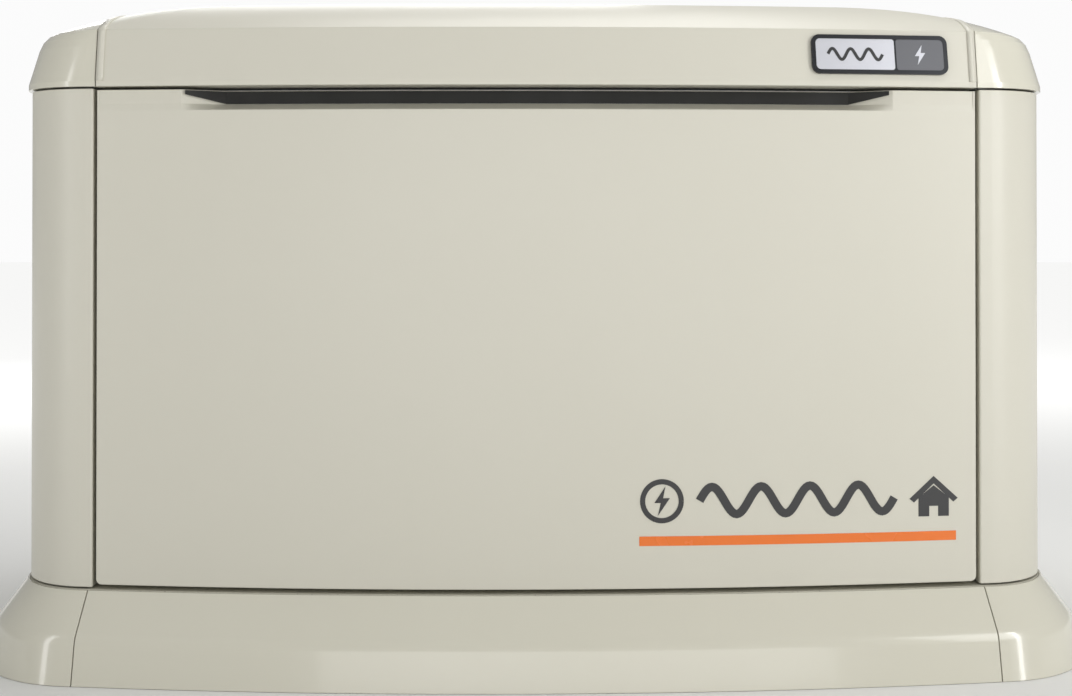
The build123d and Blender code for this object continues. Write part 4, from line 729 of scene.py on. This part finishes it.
# ---- rivets through the hinge leaves -------------------------------------------------------
def dome(radius, height, place, out):
    """One low rivet head, its flat side down on the leaf."""
    bpy.ops.object.select_all(action="DESELECT")
    bpy.ops.mesh.primitive_uv_sphere_add(segments=20, ring_count=12, radius=radius * MM)
    made = bpy.context.view_layer.objects.active
    bpy.ops.object.mode_set(mode="EDIT")
    bpy.ops.mesh.select_all(action="SELECT")
    bpy.ops.mesh.bisect(
        plane_co=(0, 0, 0.02 * radius * MM), plane_no=(0, 0, 1), clear_inner=True, use_fill=True
    )
    bpy.ops.object.mode_set(mode="OBJECT")
    bpy.ops.object.shade_smooth_by_angle(angle=math.radians(40))
    made.scale = (1, 1, height / radius)
    made.rotation_euler = Vector(out).to_track_quat("Z", "Y").to_euler()
    made.location = place
    bpy.ops.object.transform_apply(location=True, rotation=True, scale=True)
    return made


def hinge_rivets(node, body, name, heights, lean):
    """Three rivets on each hinge's leaf, at each height, standing on its outer face."""
    low, high = (Vector(corner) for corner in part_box(node))
    out = Vector((0, math.cos(lean), math.sin(lean)))
    heads = []
    for height in heights:
        face = [
            v.co.dot(out) for v in nodes[node].data.vertices
            if abs(v.co.z - height) < 24 * MM and v.co.y < low.y + 10 * MM
        ]
        for side in (-1, 1):
            for offset in (-32 * MM, 0, 32 * MM):
                x = side * (high.x - 45 * MM) + offset
                y = (max(face) - height * out.z) / out.y
                heads.append(dome(4.2, 1.9, (x, y - 0.05 * MM, height), out))
    settle(join(heads), zinc_cast, body, name)


hinge_rivets("hinge_body_leaves", "enclosure", "hinge_rivets_body", (0.584,), 0.0)
hinge_rivets("hinge_lid_leaves", "lid", "hinge_rivets_lid", (0.668,), BADGE_LEAN)


# ---- controller's face ---------------------------------------------------------------------
FACE_RISE, FACE_RUN = 70.0, 93.0
WINDOW_WIDTH, WINDOW_HEIGHT = 94, 34


def controller_face():
    """Display window with plain segment marks, and three signal lamps beside it."""
    low, high = (Vector(corner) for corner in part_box("controller"))
    slope = math.atan2(FACE_RISE, FACE_RUN)
    across, up = Vector((1, 0, 0)), Vector((0, math.cos(slope), math.sin(slope)))
    out = across.cross(up)
    middle = (low + high) / 2
    floor = middle + up * 15 * MM + out * 4.55 * MM
    window = place_on(plate(rounded(WINDOW_WIDTH, WINDOW_HEIGHT, 3), 0.9), floor, across, up)
    settle(window, display_glass, "enclosure", "display_window")
    marks = [band(wave(-38, 30, 0, 7, 2), 2.0, 0.2)]
    for count in range(4):
        tall = 6 + 5 * count
        marks.append(plate(rounded(5, tall, 0.8, (8 + 9 * count, tall / 2 - 14)), 0.2))
    shown = place_on(join(marks), floor + out * 0.88 * MM, across, up)
    settle(shown, display_mark, "enclosure", "display_marks")
    lamps = (("lamp_ready", key_green), ("lamp_service", orange_ink), ("lamp_fault", key_red))
    for count, (name, lens) in enumerate(lamps):
        place = middle + across * 74 * MM + up * (27 - 12 * count) * MM + out * 6.9 * MM
        settle(dome(3.2, 2.0, place, out), lens, "enclosure", name)


controller_face()


# ---- engine fittings -----------------------------------------------------------------------
def nut(radius, height, place, out):
    """One flanged hexagon nut, its flange down on the casting."""
    bpy.ops.object.select_all(action="DESELECT")
    bpy.ops.mesh.primitive_cylinder_add(
        vertices=6, radius=radius * MM, depth=height * MM, location=(0, 0, height / 2 * MM)
    )
    made = bpy.context.view_layer.objects.active
    bpy.ops.object.transform_apply(location=True)
    pick_faces(made, lambda centre, normal: normal.z > 0.9)
    bpy.ops.mesh.inset(thickness=radius * 0.35 * MM)
    bpy.ops.mesh.extrude_region_move(
        TRANSFORM_OT_translate={"value": (0, 0, height * 0.3 * MM)}
    )
    bpy.ops.object.mode_set(mode="OBJECT")
    apply(made, "BEVEL", width=0.4 * MM, segments=2, limit_method="ANGLE")
    bpy.ops.object.select_all(action="DESELECT")
    bpy.ops.mesh.primitive_cylinder_add(
        vertices=24, radius=radius * 1.35 * MM, depth=1.4 * MM, location=(0, 0, 0.7 * MM)
    )
    flange = bpy.context.view_layer.objects.active
    apply(flange, "BEVEL", width=0.3 * MM, segments=2, limit_method="ANGLE")
    join([made, flange])
    made.rotation_euler = Vector(out).to_track_quat("Z", "Y").to_euler()
    made.location = place
    bpy.ops.object.transform_apply(location=True, rotation=True)
    return made


# The crankshaft's axis, and how far the cover nuts and the alternator's bolts stand from it.
ENGINE_Y, ENGINE_Z = 45 * MM, 290 * MM
COVER_REACH = 244.9 * MM
THROUGH_BOLT_REACH = 106 * MM


def engine_nuts():
    """Cover nuts on both rocker covers, and through-bolt nuts round the alternator's end."""
    made = []
    for bank_x, lean in ((-16, -45), (30, 45)):
        out = Vector((0, math.sin(math.radians(lean)), math.cos(math.radians(lean))))
        top = Vector((bank_x * MM, ENGINE_Y, ENGINE_Z)) + out * COVER_REACH
        made += [nut(6, 6, top + Vector((x * MM, 0, 0)), out) for x in (-22, 22)]
    end_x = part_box("alternator_housing")[0][0]
    for count in range(4):
        turn = math.radians(45 + 90 * count)
        place = (
            end_x + 0.05 * MM,
            ENGINE_Y + THROUGH_BOLT_REACH * math.cos(turn),
            ENGINE_Z + THROUGH_BOLT_REACH * math.sin(turn),
        )
        made.append(nut(5.5, 6, place, (-1, 0, 0)))
    settle(join(made), zinc_cast, "enclosure", "engine_nuts")


def cleaner_fittings():
    """A fluted knob on the air cleaner's lid and a sprung wire clip at each end."""
    low, high = (Vector(corner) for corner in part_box("air_cleaner"))
    middle = (low + high) / 2
    turns = [2 * math.pi * step / 48 for step in range(48)]
    reach = [17.0 if step % 6 < 4 else 15.2 for step in range(48)]
    fluted = [(r * math.cos(turn), r * math.sin(turn)) for r, turn in zip(reach, turns)]
    knob = plate(fluted, 10)
    place_on(knob, (middle.x, middle.y, high.z), (1, 0, 0), (0, 1, 0))
    apply(knob, "BEVEL", width=0.7 * MM, segments=2, limit_method="ANGLE")
    settle(knob, black_pp, "enclosure", "cleaner_knob")
    clips = []
    for side in (-1, 1):
        edge = middle.x + side * (high.x - middle.x)
        path = [
            (edge / MM + side * 1.6, middle.z / MM - 22), (edge / MM + side * 3.2, middle.z / MM - 8),
            (edge / MM + side * 1.4, middle.z / MM + 8), (edge / MM + side * 2.6, middle.z / MM + 20),
        ]
        clip = band(path, 1.6, 22)
        for vertex in clip.data.vertices:
            vertex.co.y += middle.y + 11 * MM
        clips.append(clip)
    settle(join(clips), turned_steel, "enclosure", "cleaner_clips")


# The can's left, right, bottom and top faces; its node also holds the pipes.
MUFFLER_CAN = (290.0, 500.0, 170.0, 400.0)


def muffler_straps():
    """Two steel straps round the muffler, each with its clamping bolt on top."""
    left, right, bottom, top = MUFFLER_CAN
    middle_x, middle_z = (left + right) / 2, (bottom + top) / 2
    straps = []
    for middle_y in (-80.0, 150.0):
        outline = rounded(right - left + 2.2, top - bottom + 2.2, 61, (middle_x, middle_z))
        strap = band(outline + outline[:1], 1.8, 20)
        for vertex in strap.data.vertices:
            vertex.co.y += (middle_y + 10) * MM
        straps.append(strap)
        bolt_place = (middle_x * MM, middle_y * MM, (top + 1.9) * MM)
        straps.append(nut(5, 5, bolt_place, (0, 0, 1)))
    settle(join(straps), galvanised_sheet, "enclosure", "muffler_straps")


# Where the fuel hose is pushed on the regulator's and the mixer's spigots.
HOSE_ENDS = ((-320.0, 180.0, 150.0), (-42.0, 45.0, 465.0))


def hose_clamps():
    """A worm-drive clamp on each end of the fuel hose, with its screw housing on top."""
    made = []
    for place in HOSE_ENDS:
        bpy.ops.object.select_all(action="DESELECT")
        bpy.ops.mesh.primitive_cylinder_add(
            vertices=32, radius=8.5 * MM, depth=9 * MM, end_fill_type="NOTHING",
            rotation=(0, math.pi / 2, 0), location=[value * MM for value in place],
        )
        loop = bpy.context.view_layer.objects.active
        bpy.ops.object.transform_apply(location=True, rotation=True)
        apply(loop, "SOLIDIFY", thickness=0.8 * MM, offset=1.0)
        top = (place[0] * MM, place[1] * MM, (place[2] + 8.8) * MM)
        made += [loop, nut(3.2, 4, top, (0, 0, 1))]
    settle(join(made), turned_steel, "enclosure", "hose_clamps")


engine_nuts()
cleaner_fittings()
muffler_straps()
hose_clamps()


# ---- floor, light and camera ---------------------------------------------------------------
def studio_floor():
    """A plain pale floor that fades into the pale surroundings far from the object."""
    made, tree, shader, place = blank("pale_studio_floor", Roughness=0.7)
    shader.inputs["Base Color"].default_value = linear("#F0F0EE")
    shader.inputs["Emission Color"].default_value = linear("#FFFFFF")
    reach = add(tree, "ShaderNodeVectorMath", {"operation": "LENGTH"}, {0: place})
    fade = add(
        tree,
        "ShaderNodeMapRange",
        {"interpolation_type": "SMOOTHSTEP", "From Min": 0.9, "From Max": 3.2, "To Max": 0.62},
        {"Value": reach.outputs["Value"]},
    )
    tree.links.new(fade.outputs[0], shader.inputs["Emission Strength"])
    bpy.ops.object.select_all(action="DESELECT")
    bpy.ops.mesh.primitive_circle_add(
        vertices=96, radius=16, fill_type="NGON", location=(0, 0, -0.4 * MM)
    )
    floor = bpy.context.view_layer.objects.active
    floor.name = "studio_floor"
    floor.data.materials.append(made)


def softbox(name, place, aim, width, height, power):
    """A rectangular soft light at a place, turned to face a point."""
    data = bpy.data.lights.new(name, "AREA")
    data.shape = "RECTANGLE"
    data.size, data.size_y, data.energy = width, height, power
    made = bpy.data.objects.new(name, data)
    bpy.context.scene.collection.objects.link(made)
    made.location = place
    made.rotation_euler = (Vector(aim) - Vector(place)).to_track_quat("-Z", "Y").to_euler()


def surroundings():
    """Dim even light from all round; the eye sees the pale paper behind the object brighter."""
    world = bpy.data.worlds.new("pale_studio")
    bpy.context.scene.world = world
    world.use_nodes = True
    tree = world.node_tree
    seen = tree.nodes["Background"]
    seen.inputs["Color"].default_value = linear("#FFFFFF")
    seen.inputs["Strength"].default_value = 0.97
    soft = add(tree, "ShaderNodeBackground", {"Color": linear("#FBFBFA"), "Strength": 0.36})
    path = add(tree, "ShaderNodeLightPath")
    mixed = add(
        tree,
        "ShaderNodeMixShader",
        links={0: path.outputs["Is Camera Ray"], 1: soft.outputs[0], 2: seen.outputs[0]},
    )
    tree.links.new(mixed.outputs[0], tree.nodes["World Output"].inputs["Surface"])


studio_floor()
surroundings()
softbox("low_front_fill", (0.2, -2.9, 0.45), (0, 0, 0.12), 2.2, 0.5, 6.4)
softbox("overhead_softbox", (0.35, 0.1, 2.3), (0.1, 0, 0.4), 2.2, 1.3, 25)
softbox("front_right_softbox", (2.2, -2.4, 1.4), (0, 0, 0.35), 1.0, 1.4, 15)
softbox("left_strip", (-2.0, -1.5, 0.7), (-0.4, 0, 0.3), 0.2, 1.6, 5)
softbox("right_strip", (1.9, -1.7, 0.7), (0.4, 0, 0.3), 0.2, 1.6, 10)
softbox("rear_softbox", (-0.6, 2.8, 1.7), (0, 0, 0.4), 2.0, 1.2, 24)
bpy.context.scene.view_settings.view_transform = "Standard"

camera_data = bpy.data.cameras.new("camera")
camera_data.lens = 49.37
camera_data.sensor_width = 36.0
camera_data.shift_y = -0.1306
camera = bpy.data.objects.new("camera", camera_data)
bpy.context.scene.collection.objects.link(camera)
camera.location = (-0.028, -1.822, 0.484)
camera.rotation_euler = (math.radians(90.45), 0, math.radians(-0.93))
bpy.context.scene.camera = camera
